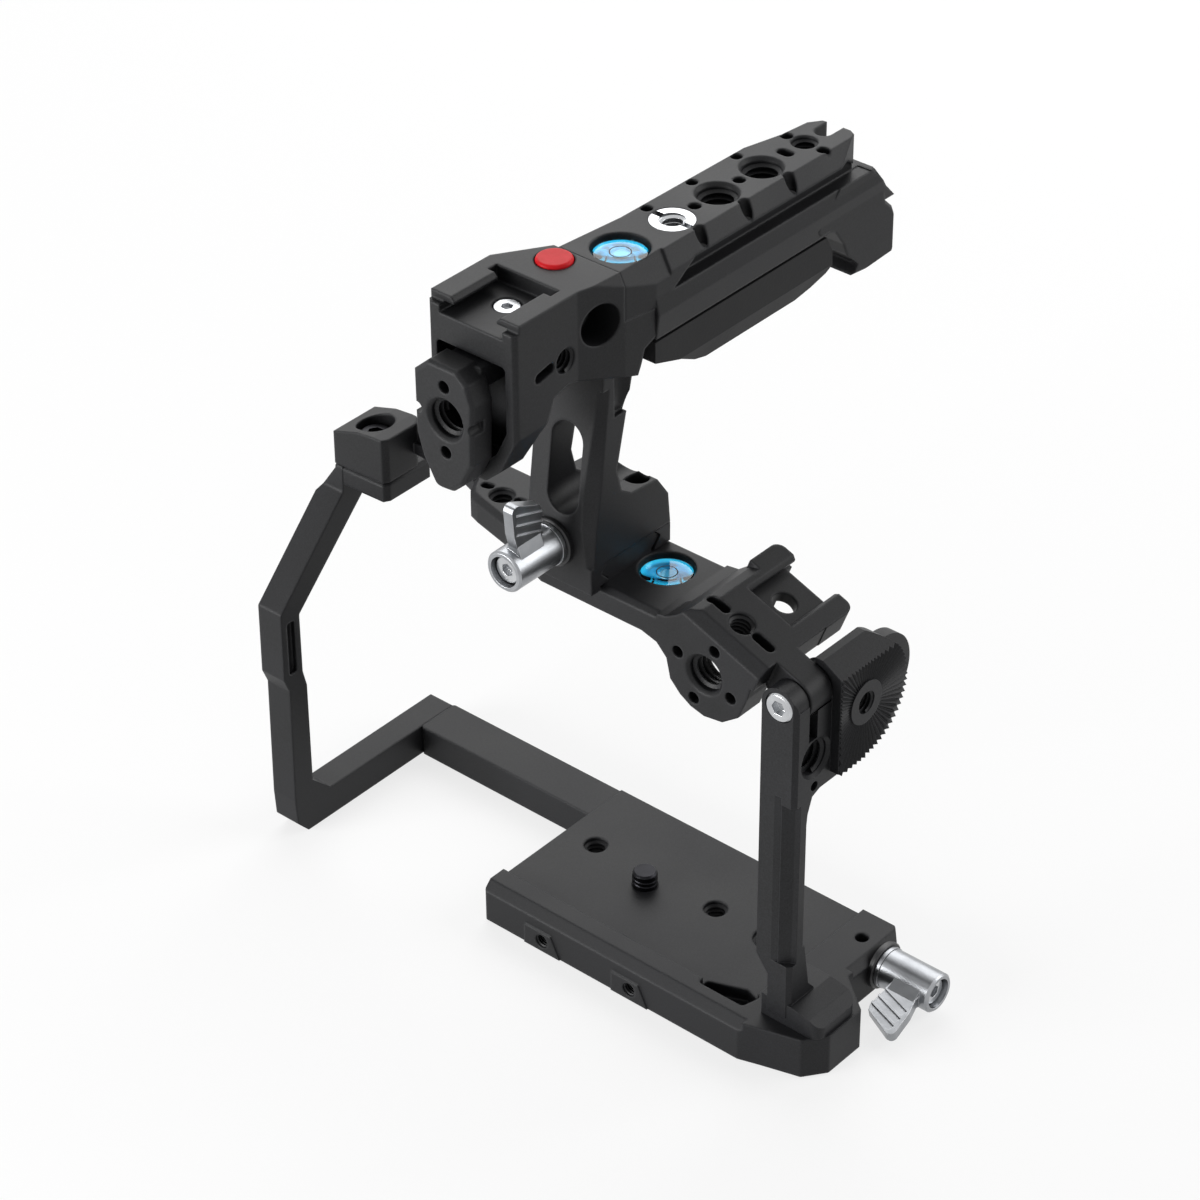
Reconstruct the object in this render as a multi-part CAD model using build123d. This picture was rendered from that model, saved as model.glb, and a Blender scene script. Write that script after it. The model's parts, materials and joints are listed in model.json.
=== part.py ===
from build123d import *
from math import cos, pi, radians, sin
import os

# Camera cage with top handle. Millimetres, +Z up, lens side towards -Y.
# Origin: axis of the camera screw on the underside of the base plate.

# ---------------------------------------------------------------- threads and clearances
QUARTER_R = 3.175
THREE_EIGHTHS_R = 4.7625
M3_R = 1.5
M4_R = 2.0
M5_R = 2.5
M6_R = 3.0
RUNNING_FIT = 0.05
BODY_GAP = 0.3
SLIDE_GAP = 0.1
PIN_HOLE_R = 1.6
LOCATOR_PITCH_R = 8.5
COUNTERSINK = 0.85

# ---------------------------------------------------------------- base plate
BASE_H = 11.6
BASE_FRONT_Y = -28.0
BASE_REAR_Y = 26.0
BASE_LEFT_X = -30.0
BASE_RIGHT_X = 73.2
BASE_CHAMFER = 2.5
SEAT_Z = 9.6
SEAT_FRONT_Y = -20.5
RIB_X = 63.0
RIB_LEFT_X = 50.0
M4_PADS_X = (-10.3, 18.6)
M4_PAD_Z = 3.2
PAD_W = 11.8
PAD_OUT = 0.4
PAD_H = 6.0
TAIL_FRONT_Y = 13.0
TAIL_H = 9.0
TRIPOD_Y = 4.0
TRIPOD_QUARTER_X = (-20.0, 20.0)
TRIPOD_LARGE_X = 38.0
CAMERA_SCREW_HEAD_R = 8.0
CAMERA_SCREW_HEAD_Z = (0.6, 5.0)
CAMERA_SCREW_TOP = SEAT_Z + 4.6
CAMERA_SCREW_NECK_R = 2.6
LOCK_Y = 17.0
LOCK_Z = 6.6
LOCK_PIN_X = 56.5
LOCK_PIN_R = 1.8
FOOT_SCREWS = ((61.5, -13.0), (68.0, -13.0))
ARM_SCREWS_Y = (16.0, 22.6)
ARM_SCREW_Z = 4.6

# ---------------------------------------------------------------- side plate
COLUMN_X0 = 53.2
COLUMN_X1 = 63.5
COLUMN_Y0 = -21.5
COLUMN_Y1 = -16.7
COLUMN_FOOT_X0 = 56.8
HINGE_X = 58.2
HINGE_Z = 105.4
LOBE_R = 5.1
FOOT_TOP = 18.0
BODY_Z0 = 79.5
BODY_TOP = 103.6
CHEEK_Y1 = -5.6
EAR_X0 = 58.3
EAR_X1 = 66.0
EAR_Z0 = 82.3
EAR_Z1 = 112.6
ROSETTE_Y = 0.9
ROSETTE_Z = 98.4
ROSETTE_R = 15.6
ROSETTE_HUB_R = 5.8
ROSETTE_TEETH = 60
TOOTH_END_R = 19.2
LUG_Z = 97.0
TOOTH_H = 0.9
SIDE_THREAD_Y = -13.8
SIDE_THREAD_Z = 89.2
SIDE_THREAD_X0 = 58.3
HINGE_HEAD_R = 3.9
HINGE_HEAD_H = 3.0

# ---------------------------------------------------------------- top bar
BAR_Z0 = 108.9
BAR_Z1 = 115.7
BAR_FRONT_Y = -22.0
BAR_REAR_Y = 3.0
SLOPE = 20.7
FINGER_R = 5.6
FINGER_Y0 = COLUMN_Y1 + BODY_GAP
FINGER_Y1 = -8.8
SHOULDER_END = -7.3
HOLE_ROW_Y = -14.5
SHOULDER_HOLE_S = -20.0
SHOULDER_SLOTS_S = (-27.3, -13.2)
BOSS_S = -20.2
BOSS_N = -8.3
BOSS_REAR_Y = -14.0
BAR_LEVEL_X = 11.9
BAR_LEVEL_Y = -6.1
LEVEL_R = 6.5
LEVEL_GAP = 0.55
LEVEL_DROP = 1.0
LEVEL_RECESS = 6.0
SHOE_S = -19.5
SHOE_OPENING = 12.7
SHOE_CHANNEL = 18.7
SHOE_LIP = 1.7
SHOE_FLOOR = 2.0
SHOE_RAIL_W = 3.0
SHOE_Y0 = -5.0
SHOE_Y1 = 12.6
LEFT_THREAD_X = -39.0
LEFT_THREAD_Y = -7.8
BLOCK_Z0 = 104.6
ARM_BOLT_X = -84.0
ARM_BOLT_Y = -5.0
ARM_BOLT_SEAT = 110.0

# ---------------------------------------------------------------- grip side arm
ARM_X0 = -98.0
ARM_X1 = -90.0
ARM_CAP_H = 5.4

# ---------------------------------------------------------------- dovetail rail and clamp
RAIL_Y = -11.0
RAIL_HALF = 10.5
RAIL_WAIST = 7.9
RAIL_TOP_HALF = 8.5
RAIL_H = 5.5
RAIL_X0 = -20.0
RAIL_X1 = 4.5
RAIL_SCREWS_X = (-15.8, 0.3)
CLAMP_X0 = -14.4
CLAMP_X1 = 5.0
CLAMP_FRONT_Y = -25.5
CLAMP_REAR_Y = 3.3
CLAMP_Z0 = 114.8
JAW_TRAVEL = 1.2
WINDOW_X = -4.25
WINDOW_R = 4.75
WINDOW_Z = (138.8, 153.2)
JAW_NUT_X = (-12.2, -1.2)
SPINDLE_X = -6.7
SPINDLE_Z = 125.6

# ---------------------------------------------------------------- lock levers
SPINDLE_R = M5_R
WASHER_R = 6.3
WASHER_H = 1.4
FLANGE_R = 5.5
FLANGE_TOP = 2.6
DRIVE_FLATS = 7.0
DRIVE_TOP = 5.4
NECK_R = 2.1
NECK_TOP = 13.4
HUB_R = 5.3
HUB_Z0 = FLANGE_TOP + SLIDE_GAP
HUB_Z1 = 17.5
WEB_Z = (5.8, 7.2)
CHAMBER_R = 4.0
PADDLE_REACH = 18.2
PADDLE_T = 2.8
PADDLE_FACE = -2.65
PADDLE_LEAN = 17.6
RIDGE_PITCH = 2.68
RIDGE_DEPTH = 0.5
END_SCREW_R = CHAMBER_R - BODY_GAP
END_SCREW_TOP = 16.2

# ---------------------------------------------------------------- handle
TOP_Z = 200.0
OVER_Z = TOP_Z + 10
HEAD_X0 = -19.5
HEAD_X1 = 6.5
HEAD_FRONT_Y = -52.0
SEAM_Y = -18.4
LEDGE_Z = TOP_Z - 12
LEDGE_Y = -9.2
HEAD_SHOE_X = -6.35
HEAD_SHOE_FLOOR_Z = TOP_Z - 4
HEAD_SHOE_LIP_END_Y = -36.0
HEAD_SHOE_END_Y = -33.0
SHOE_SCREW_Y = -40.0
POCKET_DEPTH = 6.0
MOUNT_FRONT_Y = -60.0
MOUNT_T = 6.5
MOUNT_X = -7.5
MOUNT_Z = TOP_Z - 24.9
TONGUE_X = (-11.5, -1.5)
TONGUE_Z = (TOP_Z - 17.4, TOP_Z - 11.8)
TONGUE_END_Y = -35.0
BUTTON_X = -7.0
BUTTON_Y = -23.3
BUTTON_R = 4.4
BUTTON_TRAVEL = 1.2
FACET_TOP_X = 7.9
FACET_DROP = 9.9
BUTTON_WELL_Z = TOP_Z - 13.5
SIDE_HOLE_DEPTH = 6.5
GRIP_X = 1.4
GRIP_END_Y = 80.4
GRIP_THREADS_Y = (24.0, 40.3)
ADAPTER_Y = 7.8
ADAPTER_H = 8.0
GRIP_QUARTER_Y = GRIP_END_Y - 24
EDGE_HOLE_X = (-6.4, 8.9)
GRIP_THREAD_DEPTHS = (10.5, 9.5)
GRIP_QUARTER_DEPTH = 11.5
ADAPTER_POCKET = ADAPTER_H + 0.5
HANDLE_LEVEL_X = 0.8
HANDLE_LEVEL_Y = -9.7
RAIL_BOTTOM_Z = TOP_Z - 20.4
PAD_TOP_Z = TOP_Z - 21.7
GRIP_SCREWS = ((-4.5, -14.2), (6.3, -14.2))
GRIP_SCREW_SEAT = TOP_Z - 18.5
PAD_SCREWS_Y = (4.0, GRIP_END_Y - 34.4)
PAD_SCREW_SEAT = TOP_Z - 28.5


def block(x0, x1, y0, y1, z0, z1):
    """Box between two corners."""
    return Pos((x0 + x1) / 2, (y0 + y1) / 2, (z0 + z1) / 2) * Box(x1 - x0, y1 - y0, z1 - z0)


def outline(points, radius=0.0):
    """Closed flat outline, every corner rounded by the radius."""
    face = Polygon(*points, align=None)
    if radius:
        face = fillet(face.vertices(), radius)
    return face


def prism_xy(points, z0, z1, radius=0.0):
    """Outline in plan, raised from z0 to z1."""
    return extrude(Plane.XY.offset(z0) * outline(points, radius), z1 - z0, dir=(0, 0, 1))


def prism_xz(points, y0, y1, radius=0.0):
    """Outline in the front view, running from y0 to y1."""
    return extrude(Plane.XZ.offset(-y1) * outline(points, radius), y1 - y0, dir=(0, -1, 0))


def prism_yz(points, x0, x1, radius=0.0):
    """Outline in the side view, running from x0 to x1."""
    return extrude(Plane.YZ.offset(x0) * outline(points, radius), x1 - x0, dir=(1, 0, 0))


def rod_x(radius, x0, x1, y, z):
    return Pos((x0 + x1) / 2, y, z) * Rot(0, 90, 0) * Cylinder(radius, x1 - x0)


def rod_y(radius, x, y0, y1, z):
    return Pos(x, (y0 + y1) / 2, z) * Rot(90, 0, 0) * Cylinder(radius, y1 - y0)


def rod_z(radius, x, y, z0, z1):
    return Pos(x, y, (z0 + z1) / 2) * Cylinder(radius, z1 - z0)


def cone_z(r_low, r_high, x, y, z0, z1):
    return Pos(x, y, (z0 + z1) / 2) * Cone(r_low, r_high, z1 - z0)


def slot_z(length, width, x, y, z0, z1, turn=0.0):
    """Round-ended slot cut along Z, long side along X before the turn."""
    face = Pos(x, y, z0) * Rot(0, 0, turn) * SlotOverall(length, width)
    return extrude(face, z1 - z0)


def hex_z(across_flats, x, y, z0, z1):
    face = Pos(x, y, z0) * RegularPolygon(across_flats / 2, 6, major_radius=False)
    return extrude(face, z1 - z0)


def tapped_z(radius, x, y, z_open, depth, rim):
    """Threaded hole entered from above at z_open, with its countersunk rim."""
    cut = rod_z(radius, x, y, z_open - depth, z_open + 0.1)
    return cut + cone_z(radius, radius + rim, x, y, z_open - rim, z_open + 0.001)


def socket_screw(thread_r, length, head_r, head_h, drive):
    """Screw along Z, head on top, underside of the head at the origin."""
    head = rod_z(head_r, 0, 0, 0, head_h)
    head = chamfer(head.edges().group_by(Axis.Z)[-1], head_h * 0.15)
    screw = head + rod_z(thread_r, 0, 0, -length, 0.01)
    return screw - hex_z(drive, 0, 0, head_h * 0.4, head_h + 1)


def flat_screw(thread_r, length, head_r, drive):
    """Countersunk screw along Z, top of the head at the origin."""
    head_h = head_r - thread_r
    screw = cone_z(thread_r, head_r, 0, 0, -head_h, 0) + rod_z(thread_r, 0, 0, -length, -head_h + 0.01)
    return screw - hex_z(drive, 0, 0, -head_h * 0.9, 1)


def coil(radius, wire, height, turns):
    """Compression spring from z = 0, centre line of the wire at the radius."""
    path = Helix((height - 2 * wire) / turns, height - 2 * wire, radius)
    start = Plane(origin=path @ 0, z_dir=path % 0)
    return Pos(0, 0, wire) * sweep(start * Circle(wire), path)


def biggest(shape):
    """The main solid, without slivers left by a cut."""
    return max(shape.solids(), key=lambda solid: solid.volume)


def on_shoulder(shape):
    """From the tilted frame of the shoulder, hinge axis at its origin, to the cage."""
    return Pos(HINGE_X, 0, HINGE_Z) * Rot(0, SLOPE, 0) * shape


def locating_pattern(x, z, y0, thread_y1, turn):
    """3/8 inch thread with its countersink and four locating holes, cut along Y."""
    cut = rod_y(THREE_EIGHTHS_R, 0, y0 - 1, thread_y1, 0)
    rim = Cone(THREE_EIGHTHS_R + COUNTERSINK, THREE_EIGHTHS_R, COUNTERSINK)
    cut += Pos(0, y0 + COUNTERSINK / 2, 0) * Rot(-90, 0, 0) * rim
    for angle in (0, 90, 180, 270):
        px = LOCATOR_PITCH_R * cos(radians(angle))
        pz = LOCATOR_PITCH_R * sin(radians(angle))
        cut += rod_y(PIN_HOLE_R, px, y0 - 1, y0 + 4.0, pz)
    return Pos(x, 0, z) * Rot(0, turn, 0) * cut


parts = {}

# ================================================================ base plate
plan = [
    (BASE_LEFT_X, BASE_FRONT_Y),
    (53.0, BASE_FRONT_Y),
    (59.0, -26.1),
    (69.0, -23.2),
    (BASE_RIGHT_X, -17.5),
    (BASE_RIGHT_X, -5.0),
    (RIB_X, 3.0),
    (RIB_X, BASE_REAR_Y - 3),
    (RIB_X - 3, BASE_REAR_Y),
    (ARM_X1, BASE_REAR_Y),
    (ARM_X1, TAIL_FRONT_Y),
    (BASE_LEFT_X, TAIL_FRONT_Y),
]
base = prism_xy(plan, 0, BASE_H, 0.9)
bevel_y = BASE_FRONT_Y + BASE_CHAMFER
bevel_z = BASE_H - BASE_CHAMFER
bevel = [(BASE_FRONT_Y - 1, bevel_z - 1), (bevel_y + 1, BASE_H + 1), (BASE_FRONT_Y - 1, BASE_H + 1)]
base -= prism_yz(bevel, -40, 54)
for pad_x in M4_PADS_X:
    pad_points = [
        (pad_x - PAD_W / 2, 0),
        (pad_x + PAD_W / 2, 0),
        (pad_x + PAD_W / 2 - 3, PAD_H),
        (pad_x - PAD_W / 2, PAD_H),
    ]
    base += prism_xz(pad_points, BASE_FRONT_Y - PAD_OUT, BASE_FRONT_Y + 1)
for pad_x in M4_PADS_X:
    base -= rod_y(M4_R, pad_x, BASE_FRONT_Y - 2, BASE_FRONT_Y + 9, M4_PAD_Z)
# camera seat and low tail towards the grip side
base -= block(-120, RIB_LEFT_X, SEAT_FRONT_Y, 40, SEAT_Z, 20)
base -= block(-120, BASE_LEFT_X, 0, 40, TAIL_H, 20)
# scoop behind the front bar
scoop = [(36, -22.5), (50, -22.5), (51.5, -17), (46, -15), (36, -19)]
base -= prism_xy(scoop, 6.0, 20, 1.2)
# light pockets in the underside
for x0, x1 in ((-26.0, -12.0), (34.0, 46.0)):
    base -= prism_xy([(x0, -17), (x1, -17), (x1, -8), (x0, -8)], -1, 3.0, 2.0)
base -= prism_xy([(-78, 16), (-36, 16), (-36, 22), (-78, 22)], -1, 4.0, 2.0)
# chamfered top of the rear rib
base -= prism_xz([(RIB_X - 2.6, 12), (RIB_X + 2, 12), (RIB_X + 2, 7.6)], 5, 40)
# camera screw bore, wide from below for the head
base -= rod_z(QUARTER_R + RUNNING_FIT, 0, 0, -1, 20)
base -= rod_z(CAMERA_SCREW_HEAD_R + BODY_GAP, 0, 0, -1, CAMERA_SCREW_HEAD_Z[1] + 0.2)
# tripod threads in the underside
for tx in TRIPOD_QUARTER_X:
    base -= rod_z(QUARTER_R, tx, TRIPOD_Y, -1, 20)
base -= rod_z(THREE_EIGHTHS_R, TRIPOD_LARGE_X, TRIPOD_Y, -1, 20)
base -= cone_z(
    THREE_EIGHTHS_R + COUNTERSINK, THREE_EIGHTHS_R, TRIPOD_LARGE_X, TRIPOD_Y, -0.001, COUNTERSINK
)
# accessory pin hole through the rib and the bore of the lock spindle that crosses it
base -= rod_z(LOCK_PIN_R, LOCK_PIN_X, LOCK_Y, -1, 20)
base -= rod_x(SPINDLE_R + RUNNING_FIT, LOCK_PIN_X, RIB_X + 1, LOCK_Y, LOCK_Z)
# foot screws, heads sunk from below
for fx, fy in FOOT_SCREWS:
    base -= rod_z(M3_R, fx, fy, -1, 20)
    base -= rod_z(3.0, fx, fy, -1, 3.2)
# blind threads for the arm screws in the end of the tail
for ay in ARM_SCREWS_Y:
    base -= rod_x(M3_R, ARM_X1 - 1, ARM_X1 + 9, ay, ARM_SCREW_Z)
parts["base_plate"] = biggest(base)

# ================================================================ camera screw
head_z0, head_z1 = CAMERA_SCREW_HEAD_Z
screw = rod_z(CAMERA_SCREW_HEAD_R, 0, 0, head_z0, head_z1)
screw = chamfer(screw.edges().group_by(Axis.Z)[0], 0.5)
screw += rod_z(CAMERA_SCREW_NECK_R, 0, 0, head_z1 - 0.1, SEAT_Z + 0.1)
stud = rod_z(QUARTER_R, 0, 0, SEAT_Z, CAMERA_SCREW_TOP)
screw += chamfer(stud.edges().group_by(Axis.Z)[-1], 0.5)
screw -= block(-9, 9, -0.8, 0.8, 0, 2.0)
screw -= hex_z(4.0, 0, 0, 0, 3.4)
parts["camera_screw"] = biggest(screw)

# ================================================================ side plate
column = block(COLUMN_X0, COLUMN_X1, COLUMN_Y0, COLUMN_Y1, 14, HINGE_Z)
column += rod_y(LOBE_R, HINGE_X, COLUMN_Y0, COLUMN_Y1, HINGE_Z)
column -= prism_xz([(50, 30), (COLUMN_X0, 30), (COLUMN_FOOT_X0, 25), (COLUMN_FOOT_X0, 10), (50, 10)], -30, 0)
right_edge = [e for e in column.edges().filter_by(Axis.Z) if e.center().X > 63 and e.center().Y < -21]
column = chamfer(right_edge, 1.1)
# narrow rail for small accessories: a wide bevel along the middle of the column
bevel = [(59.4, COLUMN_Y0 - 1), (59.4, COLUMN_Y0), (62.2, -19.4), (COLUMN_X1, -19.0), (66, -19.0), (66, -23)]
column -= prism_xy(bevel, 30, 78)
column -= prism_xy([(57.6, -23), (59.6, -23), (59.6, COLUMN_Y0 + 0.5), (57.6, COLUMN_Y0)], 30, 80)
# foot on the corner of the base
foot_points = [
    (54.9, BASE_H),
    (72.4, BASE_H),
    (72.4, 14.6),
    (69.5, FOOT_TOP - 1),
    (64, FOOT_TOP),
    (54.9, FOOT_TOP),
]
foot = prism_xz(foot_points, -21.2, -5.6)
foot = fillet([e for e in foot.edges().filter_by(Axis.Z) if e.center().X > 72], 3.0)
side = column + foot
side += prism_yz([(-18, 15), (-9, 15), (-14, 21), (-16, 34), (-18, 34)], COLUMN_FOOT_X0, COLUMN_X1)
# body behind the fork, its lower edge swept into the column
body_points = [
    (-17.2, 66),
    (-16.4, 74),
    (-14.8, 78.4),
    (-12.0, BODY_Z0),
    (-7.5, BODY_Z0),
    (-7.5, BODY_TOP),
    (-17.2, BODY_TOP),
]
side += prism_yz(body_points, EAR_X0, COLUMN_X1)
side += block(EAR_X0, COLUMN_X1, FINGER_Y1, CHEEK_Y1, BODY_Z0, HINGE_Z)
# toothed ear
ear = rod_x(ROSETTE_R, EAR_X0, EAR_X1, ROSETTE_Y, ROSETTE_Z)
ear += block(EAR_X0, EAR_X1, -8.4, ROSETTE_Y, EAR_Z0, EAR_Z1)
ear &= block(EAR_X0, EAR_X1, -8.4, 30, EAR_Z0, EAR_Z1)
side += ear
# strap lug, an open loop behind the ear
lug = rod_x(11.0, EAR_X0, 61.8, 13.0, LUG_Z)
lug -= rod_x(8.0, 50, 70, 13.0, LUG_Z) & block(50, 70, 16.9, 40, 80, 120)
lug &= block(50, 70, 8, 40, LUG_Z - 8.5, LUG_Z + 15)
side += lug
# room for the finger of the top bar, and the fork's rear cheek
side -= rod_y(FINGER_R + BODY_GAP, HINGE_X, FINGER_Y0 - BODY_GAP, FINGER_Y1 + BODY_GAP, HINGE_Z)
side -= block(50, 70, FINGER_Y0 - BODY_GAP, FINGER_Y1 + BODY_GAP, HINGE_Z, 120)
side -= block(50, 70, COLUMN_Y1 + 0.01, -13.6, 95, 120)
side += rod_y(LOBE_R, HINGE_X, FINGER_Y1 + BODY_GAP, CHEEK_Y1, HINGE_Z)
# radial teeth around the hub of the ear
teeth = []
pitch_angle = pi / ROSETTE_TEETH
for index in range(ROSETTE_TEETH):
    sections = []
    for radius in (ROSETTE_HUB_R - 1.0, TOOTH_END_R):
        half = radius * pitch_angle
        height = TOOTH_H * radius / ROSETTE_R
        triangle = Polygon((0.06, -half), (0.06, half), (-height, 0), align=None)
        sections.append(Pos(radius, 0, 0) * Rot(0, 90, 0) * triangle)
    tooth = Rot(0, 0, index * 360 / ROSETTE_TEETH) * loft(sections)
    teeth.append(Pos(EAR_X1, ROSETTE_Y, ROSETTE_Z) * Rot(0, 90, 0) * tooth)
window = rod_x(ROSETTE_R - 0.1, EAR_X1 - 1, EAR_X1 + 2, ROSETTE_Y, ROSETTE_Z)
window += block(EAR_X1 - 1, EAR_X1 + 2, -8.3, ROSETTE_Y, EAR_Z0, EAR_Z1)
window &= block(EAR_X1 - 1, EAR_X1 + 2, -8.3, 30, EAR_Z0 + 0.1, EAR_Z1)
teeth = [tooth & window for tooth in teeth]
side = side + teeth
side += rod_x(ROSETTE_HUB_R, EAR_X1 - 1, EAR_X1 + 0.6, ROSETTE_Y, ROSETTE_Z)
# facet between the top of the ear and its teeth
side -= prism_xz([(67.2, 108.6), (70, 108.6), (70, 114), (60.5, 114), (60.5, 112.6)], -9, 30)
# threads and pin holes
side -= rod_x(M6_R, EAR_X0 - 1, EAR_X1 + 2, ROSETTE_Y, ROSETTE_Z)
side -= rod_x(THREE_EIGHTHS_R, 55.5, COLUMN_X1 + 1, SIDE_THREAD_Y, SIDE_THREAD_Z)
rim = Cone(THREE_EIGHTHS_R, THREE_EIGHTHS_R + COUNTERSINK, COUNTERSINK)
side -= Pos(COLUMN_X1 - COUNTERSINK / 2 + 0.001, SIDE_THREAD_Y, SIDE_THREAD_Z) * Rot(0, 90, 0) * rim
side -= rod_x(1.3, COLUMN_X1 - 3.5, COLUMN_X1 + 1, -14.2, 81.2)
for fx, fy in FOOT_SCREWS:
    side -= rod_z(M3_R, fx, fy, BASE_H - 1, BASE_H + 4.6)
# hinge screw: sunk head in front, thread in the rear cheek
side -= rod_y(HINGE_HEAD_R + 0.1, HINGE_X, COLUMN_Y0 - 1, COLUMN_Y0 + HINGE_HEAD_H, HINGE_Z)
side -= rod_y(M4_R, HINGE_X, COLUMN_Y0, CHEEK_Y1 + 1, HINGE_Z)
parts["side_plate"] = biggest(side)

# screws from below into the foot
foot_screws = []
for fx, fy in FOOT_SCREWS:
    foot_screws.append(Pos(fx, fy, 3.2) * Rot(180, 0, 0) * socket_screw(M3_R, 12.0, 2.8, 2.6, 2.5))
parts["base_foot_screws"] = Compound(children=foot_screws)

# hinge screw with its head flush in the front lobe
hinge_length = CHEEK_Y1 - COLUMN_Y0 - HINGE_HEAD_H - 0.2
hinge = socket_screw(M4_R, hinge_length, HINGE_HEAD_R, HINGE_HEAD_H + 0.3, 3.5)
parts["hinge_screw"] = Pos(HINGE_X, COLUMN_Y0 + HINGE_HEAD_H, HINGE_Z) * Rot(90, 0, 0) * hinge

# ================================================================ top bar
bar_plan = [
    (40.0, BAR_FRONT_Y),
    (-14.0, BAR_FRONT_Y),
    (-30.9, -16.0),
    (-42.5, -13.1),
    (-45.6, -12.0),
    (-47.6, -9.8),
    (-49.6, -6.0),
    (-49.6, BAR_REAR_Y),
    (40.0, BAR_REAR_Y),
]
bar = prism_xy(bar_plan, BAR_Z0, BAR_Z1)
front_edges = [e for e in bar.edges().group_by(Axis.Z)[-1] if e.center().Y < -7]
bar = chamfer(front_edges, 1.4)
# neck that rises to the block over the grip
neck_side = [
    (-48, BAR_Z0),
    (-48, BAR_Z1),
    (-58, BAR_Z1),
    (-68, 117.4),
    (-78, 117.4),
    (-78, 109.4),
    (-58, BAR_Z0),
]
neck_side = prism_xz(neck_side, -20, 10)
lower_plan = [
    (-48, -6.4),
    (-50.5, -4.6),
    (-56, -2.6),
    (-72, -0.8),
    (-80, -0.6),
    (-80, BAR_REAR_Y),
    (-48, BAR_REAR_Y),
]
upper_plan = [
    (-48, -5.6),
    (-52, -3.0),
    (-58, -0.9),
    (-70, 0.6),
    (-80, 0.8),
    (-80, BAR_REAR_Y),
    (-48, BAR_REAR_Y),
]
neck = prism_xy(lower_plan, 100, 112.4) + prism_xy(upper_plan, 112.4, 120)
bar += neck & neck_side
block_plan = [(-92, -12), (-76.2, -11.4), (-75.2, -9.6), (-75.2, 0.4), (-77.4, BAR_REAR_Y), (-92, BAR_REAR_Y)]
left_block = prism_xy(block_plan, BLOCK_Z0, 125)
block_top = [
    (-95, 113.4),
    (-92, 114.6),
    (-84.5, 117.0),
    (-79, 117.6),
    (-66, 117.6),
    (-66, 130),
    (-95, 130),
]
left_block -= prism_xz(block_top, -30, 30)
left_block = chamfer(left_block.edges().group_by(Axis.Z)[0], 0.6)
bar += left_block
bar -= rod_z(5.0, ARM_BOLT_X, ARM_BOLT_Y, ARM_BOLT_SEAT, 130)
bar -= rod_z(M5_R, ARM_BOLT_X, ARM_BOLT_Y, 100, 130)
# shoulder: ridge, slope and the finger that goes in the fork
ridge = [(22, 110), (22, BAR_Z1), (25.5, 116.2), (30.8, 120.3), (33.6, 120.6), (44, 114), (40, BAR_Z0)]
bar += prism_xz(ridge, BAR_FRONT_Y, 4.0)
bar += on_shoulder(block(-28.5, SHOULDER_END, BAR_FRONT_Y, 4.0, -1.2, FINGER_R))
finger = block(-12, 0, FINGER_Y0, FINGER_Y1, -FINGER_R, FINGER_R)
finger -= prism_xz([(-13, -1.2), (-9, -1.2), (-4.2, -6), (-13, -6)], -30, 0)
finger += rod_y(FINGER_R, 0, FINGER_Y0, FINGER_Y1, 0)
bar += on_shoulder(finger)
bar -= rod_y(M4_R + 0.1, HINGE_X, FINGER_Y0 - 1, FINGER_Y1 + 1, HINGE_Z)
# front boss below the shoulder
boss = [
    (17, BAR_Z0 + 0.1),
    (22, 107.6),
    (25, 104.5),
    (26.2, 99.1),
    (29.2, 96),
    (32.5, 94),
    (36.5, 93),
    (42, 93.8),
    (46.7, 97.3),
    (49.2, 103.7),
    (51, 110.7),
    (50.5, 113.5),
    (35, 119.6),
    (29, 118.5),
    (17, 112),
]
bar += prism_xz(boss, BAR_FRONT_Y, BOSS_REAR_Y)
bar -= on_shoulder(prism_yz([(-23, 6), (-19.4, 6), (-19.4, 5.61), (-22, 3.0), (-23, 3.0)], -34, 0))
bar -= on_shoulder(block(-34, 2, -30, 30, FINGER_R, 20)) & block(33.6, 90, -30, 30, 90, 130)
# cold shoe on the shoulder, open to the rear
half_shoe = SHOE_CHANNEL / 2 + SHOE_RAIL_W
lip_z = FINGER_R - SHOE_LIP
shoe = block(SHOE_S - half_shoe, SHOE_S + half_shoe, 2, SHOE_Y1, -1.2, FINGER_R)
rear_edges = [e for e in shoe.edges().filter_by(Axis.Z) if e.center().Y > 10]
shoe = fillet(rear_edges, 2.6)
bar += on_shoulder(shoe)
half_channel = SHOE_CHANNEL / 2
half_open = SHOE_OPENING / 2
channel = block(SHOE_S - half_channel, SHOE_S + half_channel, SHOE_Y0, 30, SHOE_FLOOR, lip_z)
channel += block(SHOE_S - half_open, SHOE_S + half_open, SHOE_Y0, 30, SHOE_FLOOR, 20)
channel += block(SHOE_S - half_open, SHOE_S + half_open, SHOE_Y1 - 1.8, 30, -5, 20)
lip_chamfer = [
    (SHOE_S - half_open - 1, FINGER_R + 0.01),
    (SHOE_S + half_open + 1, FINGER_R + 0.01),
    (SHOE_S + half_open, FINGER_R - 1),
    (SHOE_S - half_open, FINGER_R - 1),
]
channel += prism_xz(lip_chamfer, SHOE_Y0, 30)
bar -= on_shoulder(channel)
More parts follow.
